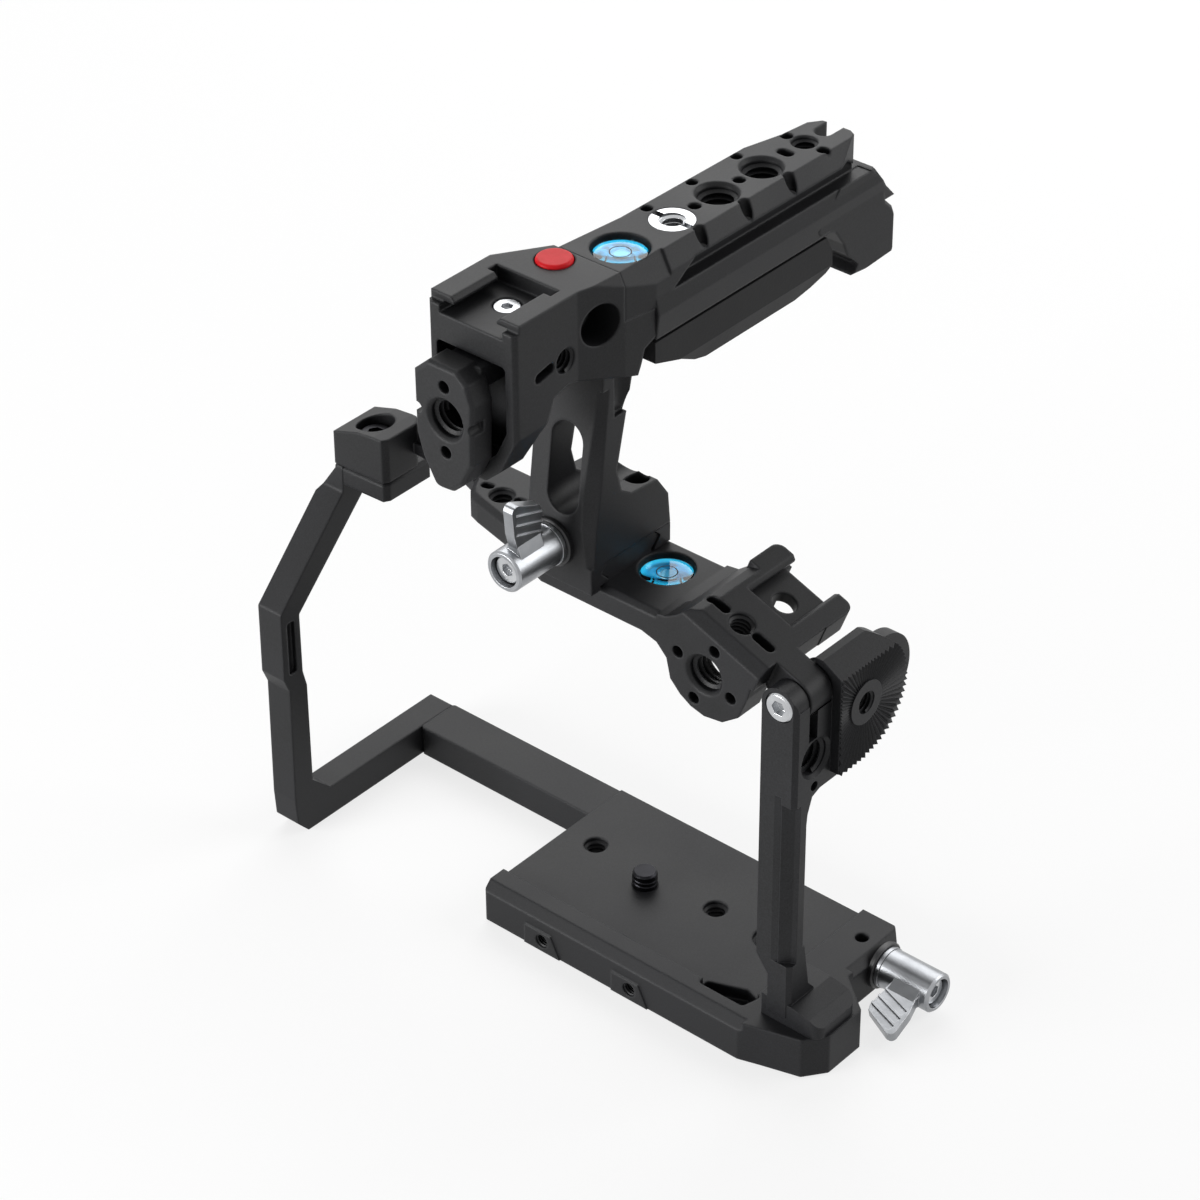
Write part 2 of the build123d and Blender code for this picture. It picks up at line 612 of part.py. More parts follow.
# threads, slots and pin holes
bar -= on_shoulder(rod_z(QUARTER_R, SHOE_S, 2.4, -20, 10))
bar -= on_shoulder(tapped_z(QUARTER_R, SHOULDER_HOLE_S, HOLE_ROW_Y + 0.1, FINGER_R, 12, 0.3))
for slot_s in SHOULDER_SLOTS_S:
    bar -= on_shoulder(slot_z(6.5, 2.8, slot_s, HOLE_ROW_Y, FINGER_R - 3.5, FINGER_R + 5))
boss_centre = on_shoulder(Pos(BOSS_S, 0, BOSS_N) * Box(1, 1, 1)).center()
bar -= locating_pattern(boss_centre.X, boss_centre.Z, BAR_FRONT_Y, BOSS_REAR_Y + 1, SLOPE)
bar -= rod_z(QUARTER_R, LEFT_THREAD_X, LEFT_THREAD_Y, 100, 130)
bar -= cone_z(QUARTER_R, QUARTER_R + 0.3, LEFT_THREAD_X, LEFT_THREAD_Y, BAR_Z1 - 0.3, BAR_Z1 + 0.001)
for slot_x in (LEFT_THREAD_X - 5.5, LEFT_THREAD_X + 5.2):
    bar -= slot_z(3.6, 2.6, slot_x, LEFT_THREAD_Y + 0.9, BAR_Z1 - 3.5, 130, 17)
# level recess and rail threads
bar -= rod_z(LEVEL_R + LEVEL_GAP, BAR_LEVEL_X, BAR_LEVEL_Y, BAR_Z1 - LEVEL_RECESS, 130)
for rx in RAIL_SCREWS_X:
    bar -= rod_z(M4_R, rx, RAIL_Y, BAR_Z1 - 6, 130) & block(-60, 20, -20, 0, 100, BAR_Z1 + 1)
parts["top_bar"] = biggest(bar)


def bubble_level(x, y, top):
    """Clear case with a sealed chamber, and the fluid that fills it."""
    base_z = top - LEVEL_RECESS
    case = rod_z(LEVEL_R, x, y, base_z, top - LEVEL_DROP)
    case = fillet(case.edges().group_by(Axis.Z)[-1], 0.6)
    fluid = rod_z(LEVEL_R - 0.8, x, y, base_z + 1.0, top - LEVEL_DROP - 0.8)
    fluid = fillet(fluid.edges().group_by(Axis.Z)[-1], 1.2)
    return case - fluid, fluid


case, fluid = bubble_level(BAR_LEVEL_X, BAR_LEVEL_Y, BAR_Z1)
parts["bar_level_case"] = case
parts["bar_level_fluid"] = fluid

# ================================================================ grip side arm
arm_points = [
    (-11.6, BLOCK_Z0),
    (-11.8, 97.0),
    (-36.1, 71.6),
    (-36.3, 51.3),
    (-34.6, 47.1),
    (-35.1, 11.7),
    (-34.6, 4.0),
    (-31.0, 0.0),
    (BASE_REAR_Y, 0.0),
    (BASE_REAR_Y, TAIL_H),
    (-22.0, TAIL_H),
    (-28.4, 15.0),
    (-28.4, 46.0),
    (-29.6, 51.0),
    (-29.6, 68.8),
    (-1.5, 96.8),
    (6.0, BLOCK_Z0 - ARM_CAP_H),
    (6.0, BLOCK_Z0),
]
arm = prism_yz(arm_points, ARM_X0, ARM_X1, 0.9)
cap_plan = [(-92.4, -11.6), (-76.6, -11.0), (-75.6, -9.3), (-75.6, 5.2), (-78.2, 7.6), (-92.4, 6.0)]
cap = prism_xy(cap_plan, BLOCK_Z0 - ARM_CAP_H, BLOCK_Z0)
cap = chamfer(cap.edges().group_by(Axis.Z)[-1], 0.9)
arm += cap
arm -= prism_xz([(-99, 94.5), (-98.0, 95.2), (-92.4, BLOCK_Z0 - 1.2), (-92.4, 110), (-99, 110)], -40, 40)
arm -= prism_yz([(-34.2, 52), (-31.4, 52), (-31.4, 68), (-34.2, 68)], ARM_X1 - 1.6, ARM_X1 + 1, 0.8)
arm -= rod_z(M5_R, ARM_BOLT_X, ARM_BOLT_Y, 90, 110)
for ay in ARM_SCREWS_Y:
    arm -= rod_x(M3_R, ARM_X0 - 1, ARM_X1 + 1, ay, ARM_SCREW_Z)
    arm -= rod_x(3.0, ARM_X0 - 1, ARM_X0 + 3.2, ay, ARM_SCREW_Z)
parts["grip_side_arm"] = biggest(arm)

bolt = socket_screw(M5_R, ARM_BOLT_SEAT - BLOCK_Z0 + ARM_CAP_H - 0.4, 4.25, 4.2, 4.0)
parts["arm_bolt"] = Pos(ARM_BOLT_X, ARM_BOLT_Y, ARM_BOLT_SEAT) * bolt
arm_screws = []
for ay in ARM_SCREWS_Y:
    arm_screw = socket_screw(M3_R, 12.0, 2.8, 2.6, 2.5)
    arm_screws.append(Pos(ARM_X0 + 3.2, ay, ARM_SCREW_Z) * Rot(0, -90, 0) * arm_screw)
parts["base_arm_screws"] = Compound(children=arm_screws)

# ================================================================ dovetail rail
flank_z = BAR_Z1 + 3.3
rail_points = [
    (RAIL_Y - RAIL_WAIST, BAR_Z1),
    (RAIL_Y + RAIL_WAIST, BAR_Z1),
    (RAIL_Y + RAIL_WAIST, BAR_Z1 + 0.9),
    (RAIL_Y + RAIL_HALF, flank_z),
    (RAIL_Y + RAIL_HALF, flank_z + 0.4),
    (RAIL_Y + RAIL_TOP_HALF, BAR_Z1 + RAIL_H),
    (RAIL_Y - RAIL_TOP_HALF, BAR_Z1 + RAIL_H),
    (RAIL_Y - RAIL_HALF, flank_z + 0.4),
    (RAIL_Y - RAIL_HALF, flank_z),
    (RAIL_Y - RAIL_WAIST, BAR_Z1 + 0.9),
]
rail = prism_yz(rail_points, RAIL_X0, RAIL_X1)
rail -= block(RAIL_X0 + 9.3, RAIL_X1 - 8.9, -30, 30, BAR_Z1 + RAIL_H - 1.5, 130)
rail_screws = []
for rx in RAIL_SCREWS_X:
    rail -= rod_z(M4_R, rx, RAIL_Y, 110, 130)
    rail -= cone_z(M4_R, 4.0, rx, RAIL_Y, BAR_Z1 + RAIL_H - 2.0, BAR_Z1 + RAIL_H + 0.001)
    rail_screws.append(Pos(rx, RAIL_Y, BAR_Z1 + RAIL_H - 0.1) * flat_screw(M4_R, 11.0, 3.8, 2.5))
parts["nato_rail"] = biggest(rail)
parts["nato_rail_screws"] = Compound(children=rail_screws)

# ================================================================ handle head, stem and clamp
profile = [
    (HEAD_FRONT_Y, TOP_Z),
    (HEAD_FRONT_Y, TOP_Z - 43),
    (-45.5, TOP_Z - 43),
    (-42.5, TOP_Z - 31),
    (-39, TOP_Z - 23.4),
    (-34, TOP_Z - 22.2),
    (-14.6, TOP_Z - 27.6),
    (-13.6, TOP_Z - 25),
    (-12.6, TOP_Z - 21.4),
    (LEDGE_Y, TOP_Z - 19.4),
    (LEDGE_Y, LEDGE_Z),
    (SEAM_Y, LEDGE_Z),
    (SEAM_Y, TOP_Z),
]
head = prism_yz(profile, HEAD_X0, 12)
head_plan = [
    (HEAD_X0 + 1, HEAD_FRONT_Y),
    (HEAD_X1 - 1, HEAD_FRONT_Y),
    (HEAD_X1, HEAD_FRONT_Y + 1),
    (HEAD_X1, -31),
    (9.6, SEAM_Y),
    (11.0, LEDGE_Y),
    (11.0, 0),
    (-9.6, 0),
    (-10.7, -17.2),
    (HEAD_X0, -31),
    (HEAD_X0, HEAD_FRONT_Y + 1),
]
head &= prism_xy(head_plan, TOP_Z - 50, OVER_Z)
front_view = [
    (HEAD_X0 - 1, OVER_Z),
    (HEAD_X0 - 1, TOP_Z - 29),
    (HEAD_X0, TOP_Z - 29),
    (-14.5, TOP_Z - 39),
    (-10, TOP_Z - 43),
    (-3, TOP_Z - 43),
    (1.5, TOP_Z - 39),
    (HEAD_X1, TOP_Z - 29),
    (12, TOP_Z - 29),
    (12, OVER_Z),
]
head &= prism_xz(front_view, -70, 10)
stem_points = [
    (CLAMP_FRONT_Y, 121.3),
    (CLAMP_REAR_Y, 121.3),
    (2.5, 129.8),
    (-1.5, 135.6),
    (-10.5, 136.4),
    (-14.4, 139.0),
    (-16.1, 145.4),
    (-10.7, TOP_Z - 31.6),
    (-10.7, TOP_Z - 26),
    (-20.5, TOP_Z - 25),
    (-21.2, TOP_Z - 34),
    (-24.4, 141),
    (CLAMP_FRONT_Y, 132),
]
stem = prism_yz(stem_points, CLAMP_X0, CLAMP_X1)
# long facet on the front-right edge of the stem
facet_rows = [
    (116.0, 4.0, CLAMP_FRONT_Y, -25.0),
    (132.0, 1.7, CLAMP_FRONT_Y, -23.6),
    (141.0, 1.2, -24.4, -22.0),
    (TOP_Z - 31.5, 3.9, -20.9, -18.5),
]
faces = []
for z, x_front, y_front, y_side in facet_rows:
    y_cut = y_front - 0.3
    corner = Polygon((x_front, y_cut), (6.0, y_cut), (6.0, y_side - 0.6), (CLAMP_X1, y_side), align=None)
    faces.append(Plane.XY.offset(z) * corner)
for low, high in zip(faces, faces[1:]):
    stem -= loft([low, high])
head += stem
# fixed jaw that hooks under the front flank of the rail
gap = SLIDE_GAP
jaw_front = [
    (CLAMP_FRONT_Y, 122),
    (CLAMP_FRONT_Y, CLAMP_Z0),
    (BAR_FRONT_Y - BODY_GAP, CLAMP_Z0),
    (BAR_FRONT_Y - BODY_GAP, BAR_Z1 + 0.3),
    (RAIL_Y - RAIL_WAIST - gap - 0.6, BAR_Z1 + 0.3),
    (RAIL_Y - RAIL_WAIST - gap - 0.3, BAR_Z1 + 0.9),
    (RAIL_Y - RAIL_HALF - gap, flank_z),
    (RAIL_Y - RAIL_HALF - gap, flank_z + 0.5),
    (RAIL_Y - RAIL_TOP_HALF - gap, BAR_Z1 + RAIL_H + gap),
    (RAIL_Y - RAIL_TOP_HALF - gap, 122),
]
head += prism_yz(jaw_front, CLAMP_X0, CLAMP_X1)
# window through the stem
window_z0, window_z1 = WINDOW_Z
head -= block(WINDOW_X - WINDOW_R, WINDOW_X + WINDOW_R, -40, 20, window_z0, window_z1)
head -= rod_y(WINDOW_R, WINDOW_X, -40, 20, window_z0)
head -= rod_y(WINDOW_R, WINDOW_X, -40, 20, window_z1)
# pocket for the nut of the rear jaw, spindle bore and access hole
nut_y = (-5.5, 0.4)
nut_x0, nut_x1 = JAW_NUT_X
nut_pocket_y = (nut_y[0] - BODY_GAP, nut_y[1] + JAW_TRAVEL + BODY_GAP)
head -= block(nut_x0 - BODY_GAP, nut_x1 + BODY_GAP, *nut_pocket_y, 121, 130.3)
head -= rod_y(SPINDLE_R + RUNNING_FIT, SPINDLE_X, CLAMP_FRONT_Y - 1, nut_y[0] + 1, SPINDLE_Z)
head -= rod_z(3.25, 0.8, -4.2, 131.5, 145)
# cold shoe on top, open to the front
half_shoe = SHOE_CHANNEL / 2
half_open = SHOE_OPENING / 2
lip_bottom = TOP_Z - SHOE_LIP
shoe_x = (HEAD_SHOE_X - half_shoe, HEAD_SHOE_X + half_shoe)
open_x = (HEAD_SHOE_X - half_open, HEAD_SHOE_X + half_open)
head -= block(*shoe_x, -60, HEAD_SHOE_END_Y, HEAD_SHOE_FLOOR_Z, lip_bottom)
head -= block(*open_x, -60, HEAD_SHOE_END_Y, HEAD_SHOE_FLOOR_Z, OVER_Z)
head -= block(*shoe_x, HEAD_SHOE_LIP_END_Y, HEAD_SHOE_END_Y, HEAD_SHOE_FLOOR_Z, OVER_Z)
lip_chamfer = [
    (HEAD_SHOE_X - half_open - 1, TOP_Z + 0.01),
    (HEAD_SHOE_X + half_open + 1, TOP_Z + 0.01),
    (HEAD_SHOE_X + half_open, TOP_Z - 1),
    (HEAD_SHOE_X - half_open, TOP_Z - 1),
]
head -= prism_xz(lip_chamfer, -60, HEAD_SHOE_LIP_END_Y)
head -= block(HEAD_X0 - 1, 10, HEAD_FRONT_Y - 1, HEAD_FRONT_Y + 1.6, lip_bottom - 0.4, OVER_Z)
# screw of the shoe floor and the slot for the tongue of the front mount
head -= rod_z(3.45, HEAD_SHOE_X, SHOE_SCREW_Y, HEAD_SHOE_FLOOR_Z - 2.2, OVER_Z)
head -= rod_z(M4_R, HEAD_SHOE_X, SHOE_SCREW_Y, TONGUE_Z[0], OVER_Z)
tongue_x = (TONGUE_X[0] - 0.1, TONGUE_X[1] + 0.1)
tongue_z = (TONGUE_Z[0] - 0.1, TONGUE_Z[1] + 0.1)
head -= block(*tongue_x, -60, TONGUE_END_Y + 0.2, *tongue_z)
# hollow front
pocket = [
    (-16.8, TOP_Z - 11),
    (3.6, TOP_Z - 11),
    (3.6, TOP_Z - 28),
    (0.5, TOP_Z - 34.5),
    (-2.5, TOP_Z - 37.5),
    (-10.5, TOP_Z - 37.5),
    (-13.5, TOP_Z - 34.5),
    (-16.8, TOP_Z - 28),
]
head -= prism_xz(pocket, -60, HEAD_FRONT_Y + POCKET_DEPTH, 1.2)
# holes in the right side
side_x0 = HEAD_X1 - SIDE_HOLE_DEPTH
head -= rod_x(5.3, side_x0, 12, -24.9, TOP_Z - 10.5)
head -= rod_x(QUARTER_R, side_x0, 12, -35.2, TOP_Z - 15.6)
side_slot = Pos(-42.2, TOP_Z - 15.7) * Rot(0, 0, 12) * SlotOverall(6.5, 2.8)
head -= extrude(Plane.YZ.offset(HEAD_X1 - 4) * side_slot, 9)
# well of the record button
head -= rod_z(BUTTON_R + BODY_GAP, BUTTON_X, BUTTON_Y, BUTTON_WELL_Z, OVER_Z)
# screws that hold the grip, heads sunk from below
for gx, gy in GRIP_SCREWS:
    head -= rod_z(M3_R, gx, gy, TOP_Z - 40, LEDGE_Z + 1)
    head -= rod_z(3.0, gx, gy, TOP_Z - 40, GRIP_SCREW_SEAT)
# long facet that widens along the right top edge
small_end = Polygon((6.3, TOP_Z + 0.2), (6.7, TOP_Z + 0.2), (6.7, TOP_Z - 0.2), align=None)
facet_corners = ((FACET_TOP_X, TOP_Z + 0.2), (13, TOP_Z + 0.2), (13, TOP_Z - FACET_DROP))
large_end = Polygon(*facet_corners, align=None)
head -= loft([Plane.XZ.offset(47.0) * small_end, Plane.XZ.offset(-SEAM_Y) * large_end])
parts["handle_head"] = biggest(head)

# ================================================================ front mount
mount_points = [
    (-12.3, TOP_Z - 11.2),
    (-16.9, TOP_Z - 15.4),
    (-16.8, TOP_Z - 31.3),
    (-15, TOP_Z - 37.2),
    (-11, TOP_Z - 44.1),
    (-6.1, TOP_Z - 43.6),
    (-2.9, TOP_Z - 40.7),
    (0.3, TOP_Z - 34.3),
    (0.8, TOP_Z - 18.9),
    (-0.8, TOP_Z - 13.9),
    (-4, TOP_Z - 11.2),
]
mount = prism_xz(mount_points, MOUNT_FRONT_Y, MOUNT_FRONT_Y + MOUNT_T)
mount = fillet([e for e in mount.edges().filter_by(Axis.Y) if e.center().Z < TOP_Z - 40], 2.4)
mount = chamfer(mount.faces().sort_by(Axis.Y)[0].edges(), 0.8)
mount += block(TONGUE_X[0], TONGUE_X[1], MOUNT_FRONT_Y + MOUNT_T - 1, TONGUE_END_Y, TONGUE_Z[0], TONGUE_Z[1])
mount -= locating_pattern(MOUNT_X, MOUNT_Z, MOUNT_FRONT_Y, MOUNT_FRONT_Y + MOUNT_T + 1, 0)
mount -= rod_z(M4_R, HEAD_SHOE_X, SHOE_SCREW_Y, TOP_Z - 30, TOP_Z)
parts["front_mount"] = biggest(mount)

shoe_screw = socket_screw(M4_R, HEAD_SHOE_FLOOR_Z - 2.2 - TONGUE_Z[0] - 0.4, 3.3, 2.0, 2.5)
parts["shoe_screw"] = Pos(HEAD_SHOE_X, SHOE_SCREW_Y, HEAD_SHOE_FLOOR_Z - 2.2) * shoe_screw

# ================================================================ handle grip
top_plan = [
    (-10.6, SEAM_Y),
    (-8.7, 1),
    (-8.2, GRIP_END_Y - 35.4),
    (-5.6, GRIP_END_Y - 24.4),
    (-4.7, GRIP_END_Y - 15.6),
    (-2.7, GRIP_END_Y - 12.8),
    (0, GRIP_END_Y - 12.4),
    (6.2, GRIP_END_Y - 12.4),
    (8.0, GRIP_END_Y - 13.4),
    (11, GRIP_END_Y - 21.9),
    (11, LEDGE_Y),
    (9.6, SEAM_Y),
]
grip = prism_xy(top_plan, LEDGE_Z, TOP_Z)
facet = [(8.5, TOP_Z + 0.1), (12, TOP_Z + 0.1), (12, TOP_Z - 7)]
front_facet = [(FACET_TOP_X, TOP_Z + 0.1), (13, TOP_Z + 0.1), (13, TOP_Z - FACET_DROP)]
grip -= prism_xz(front_facet, SEAM_Y - 1, -4) & block(0, 20, SEAM_Y - 1, -4, TOP_Z - FACET_DROP - 1, TOP_Z + 1)
grip -= prism_xz(facet, -4, GRIP_END_Y - 8.4)
grip = chamfer([e for e in grip.edges().group_by(Axis.Z)[-1] if e.center().X < -2.0], 0.5)
lower_section = [
    (-8.4, TOP_Z - 9.8),
    (-9.8, TOP_Z - 14),
    (-9.0, RAIL_BOTTOM_Z),
    (11.0, RAIL_BOTTOM_Z),
    (11.8, TOP_Z - 14),
    (11.0, TOP_Z - 9.8),
]
lower = prism_xz(lower_section, LEDGE_Y, GRIP_END_Y + 10)
lower_profile = [
    (LEDGE_Y, TOP_Z - 9.8),
    (LEDGE_Y, RAIL_BOTTOM_Z),
    (GRIP_END_Y - 0.4, RAIL_BOTTOM_Z),
    (GRIP_END_Y - 4.7, TOP_Z - 16),
    (GRIP_END_Y - 8.9, TOP_Z - 9.8),
]
lower &= prism_yz(lower_profile, -20, 20)
grip += lower
hook_points = [
    (GRIP_END_Y - 30.4, TOP_Z - 18),
    (GRIP_END_Y - 29.4, TOP_Z - 19.6),
    (GRIP_END_Y - 26.2, TOP_Z - 19.7),
    (GRIP_END_Y - 23.8, TOP_Z - 20.8),
    (GRIP_END_Y - 20.5, TOP_Z - 25.5),
    (GRIP_END_Y - 18.8, TOP_Z - 29.2),
    (GRIP_END_Y - 14.5, TOP_Z - 33.4),
    (GRIP_END_Y - 16.3, TOP_Z - 36.1),
    (GRIP_END_Y - 10.4, TOP_Z - 36.8),
    (GRIP_END_Y - 0.6, TOP_Z - 36.3),
    (GRIP_END_Y, TOP_Z - 35),
    (GRIP_END_Y, TOP_Z - 25.4),
    (GRIP_END_Y - 0.8, TOP_Z - 23.5),
    (GRIP_END_Y - 3.8, TOP_Z - 20.6),
    (GRIP_END_Y - 4.7, TOP_Z - 16.2),
    (GRIP_END_Y - 8.9, TOP_Z - 9.6),
    (GRIP_END_Y - 22.4, TOP_Z - 9.6),
]
hook = prism_yz(hook_points, -8.6, 11.4)
hook_edges = [e for e in hook.edges() if abs(e.center().X + 8.6) < 0.01 or abs(e.center().X - 11.4) < 0.01]
hook_edges = [e for e in hook_edges if e.center().Y > GRIP_END_Y - 14.4]
hook = chamfer(hook_edges, 0.8)
grip += hook
# side grooves and core between the top plate and the lower rail
groove = [
    (-3, TOP_Z - 9.8),
    (4.4, TOP_Z - 4.8),
    (GRIP_END_Y - 17.9, TOP_Z - 4.8),
    (GRIP_END_Y - 10.4, TOP_Z - 9.8),
]
for x0, x1 in ((7.4, 20), (-20, -4.8)):
    grip -= prism_yz(groove, x0, x1)
# threads, pin holes and notches along the top
grip -= tapped_z(THREE_EIGHTHS_R, GRIP_X, ADAPTER_Y, TOP_Z, ADAPTER_POCKET, COUNTERSINK)
for gy, depth in zip(GRIP_THREADS_Y, GRIP_THREAD_DEPTHS):
    grip -= tapped_z(THREE_EIGHTHS_R, GRIP_X, gy, TOP_Z, depth, COUNTERSINK)
grip -= tapped_z(QUARTER_R, GRIP_X, GRIP_QUARTER_Y, TOP_Z, GRIP_QUARTER_DEPTH, 0.3)
pin_row = GRIP_QUARTER_Y - 0.3
for px, py in ((7.2, pin_row), (-3.7, pin_row), (GRIP_X - 0.1, 15.9), (GRIP_X - 0.1, 32.1)):
    grip -= rod_z(1.6, px, py, TOP_Z - 4, OVER_Z)
grip -= slot_z(4.6, 3.0, GRIP_X - 0.2, GRIP_QUARTER_Y - 7, TOP_Z - 4, OVER_Z)
notch_y = GRIP_QUARTER_Y + 7.2
grip -= rod_z(2.4, GRIP_X + 0.2, notch_y, TOP_Z - 6, OVER_Z)
grip -= block(GRIP_X - 2.2, GRIP_X + 2.6, notch_y, GRIP_END_Y, TOP_Z - 6, OVER_Z)
for ny in (ADAPTER_Y + 0.1, GRIP_THREADS_Y[0] + 0.1, GRIP_THREADS_Y[1] + 0.2):
    grip -= rod_z(1.5, EDGE_HOLE_X[0], ny + 0.1, TOP_Z - 6, OVER_Z)
    grip -= rod_z(1.7, EDGE_HOLE_X[1], ny + 0.8, TOP_Z - 6, OVER_Z)
# level, grip screws and pad screws
grip -= rod_z(LEVEL_R + LEVEL_GAP, HANDLE_LEVEL_X, HANDLE_LEVEL_Y, TOP_Z - LEVEL_RECESS, OVER_Z)
for gx, gy in GRIP_SCREWS:
    grip -= rod_z(M3_R, gx, gy, LEDGE_Z - 1, LEDGE_Z + 5.0)
for py in PAD_SCREWS_Y:
    grip -= rod_z(M3_R, GRIP_X, py, RAIL_BOTTOM_Z - 1, RAIL_BOTTOM_Z + 6)
parts["handle_grip"] = biggest(grip)

grip_screws = []
for gx, gy in GRIP_SCREWS:
    grip_screw = socket_screw(M3_R, 11.0, 2.8, 2.6, 2.5)
    grip_screws.append(Pos(gx, gy, GRIP_SCREW_SEAT) * Rot(180, 0, 0) * grip_screw)
parts["grip_joint_screws"] = Compound(children=grip_screws)

# soft pad below the grip, with a raised seat against the rail
pad_points = [
    (-8.8, PAD_TOP_Z),
    (-8.8, TOP_Z - 27.2),
    (0.5, TOP_Z - 30.2),
    (7.5, TOP_Z - 34.2),
    (13.0, TOP_Z - 36),
    (23.0, TOP_Z - 37.2),
    (33.0, TOP_Z - 37.6),
    (GRIP_END_Y - 36.9, TOP_Z - 36.4),
    (GRIP_END_Y - 29.4, TOP_Z - 34.4),
    (GRIP_END_Y - 24.8, TOP_Z - 32.2),
    (GRIP_END_Y - 23.4, TOP_Z - 30.2),
    (GRIP_END_Y - 23.6, TOP_Z - 26.2),
    (GRIP_END_Y - 25.9, PAD_TOP_Z),
]
pad = prism_yz(pad_points, -7.6, 10.4)
pad_section = [
    (-7.6, PAD_TOP_Z + 1),
    (-7.6, TOP_Z - 30),
    (-5.2, TOP_Z - 35.8),
    (-1.0, TOP_Z - 38),
    (3.8, TOP_Z - 38),
    (8.0, TOP_Z - 35.8),
    (10.4, TOP_Z - 30),
    (10.4, PAD_TOP_Z + 1),
]
pad &= prism_xz(pad_section, -20, GRIP_END_Y)
pad_seat = [(-6, -6), (8.8, -6), (8.8, GRIP_END_Y - 27.4), (-6, GRIP_END_Y - 27.4)]
pad += prism_xy(pad_seat, PAD_TOP_Z - 1, RAIL_BOTTOM_Z, 2.0)
pad_screws = []
for py in PAD_SCREWS_Y:
    pad -= rod_z(M3_R, GRIP_X, py, TOP_Z - 50, TOP_Z - 10)
    pad -= rod_z(3.0, GRIP_X, py, TOP_Z - 50, PAD_SCREW_SEAT)
    pad_screw = socket_screw(M3_R, 13.4, 2.8, 2.6, 2.5)
    pad_screws.append(Pos(GRIP_X, py, PAD_SCREW_SEAT) * Rot(180, 0, 0) * pad_screw)
parts["grip_pad"] = biggest(pad)
parts["grip_pad_screws"] = Compound(children=pad_screws)

# silver adapter, 3/8 inch outside and 1/4 inch inside
adapter = rod_z(THREE_EIGHTHS_R, GRIP_X, ADAPTER_Y, TOP_Z - ADAPTER_H, TOP_Z)
adapter += cone_z(THREE_EIGHTHS_R, 5.5, GRIP_X, ADAPTER_Y, TOP_Z - 0.74, TOP_Z - 0.02)
adapter -= rod_z(QUARTER_R, GRIP_X, ADAPTER_Y, TOP_Z - 20, OVER_Z)
adapter -= block(GRIP_X - 7, GRIP_X + 7, ADAPTER_Y - 0.9, ADAPTER_Y + 0.9, TOP_Z - 1.4, OVER_Z)
parts["thread_adapter"] = biggest(adapter)

case, fluid = bubble_level(HANDLE_LEVEL_X, HANDLE_LEVEL_Y, TOP_Z)
parts["handle_level_case"] = case
parts["handle_level_fluid"] = fluid

# ================================================================ record button
cap_z = TOP_Z - 4.4
button = rod_z(BUTTON_R, BUTTON_X, BUTTON_Y, cap_z, TOP_Z + 0.8)
button = fillet(button.edges().group_by(Axis.Z)[-1], 0.75)
button += rod_z(1.5, BUTTON_X, BUTTON_Y, cap_z - 3.2, cap_z + 0.01)
parts["record_button"] = biggest(button)
switch = rod_z(BUTTON_R + 0.1, BUTTON_X, BUTTON_Y, BUTTON_WELL_Z, BUTTON_WELL_Z + 3.2)
switch += rod_z(1.4, BUTTON_X, BUTTON_Y, BUTTON_WELL_Z + 3.1, cap_z - 3.2 - BUTTON_TRAVEL - 0.05)
parts["record_switch"] = biggest(switch)
spring_z = BUTTON_WELL_Z + 3.25
parts["record_spring"] = Pos(BUTTON_X, BUTTON_Y, spring_z) * coil(2.9, 0.3, cap_z - spring_z - 0.1, 4)


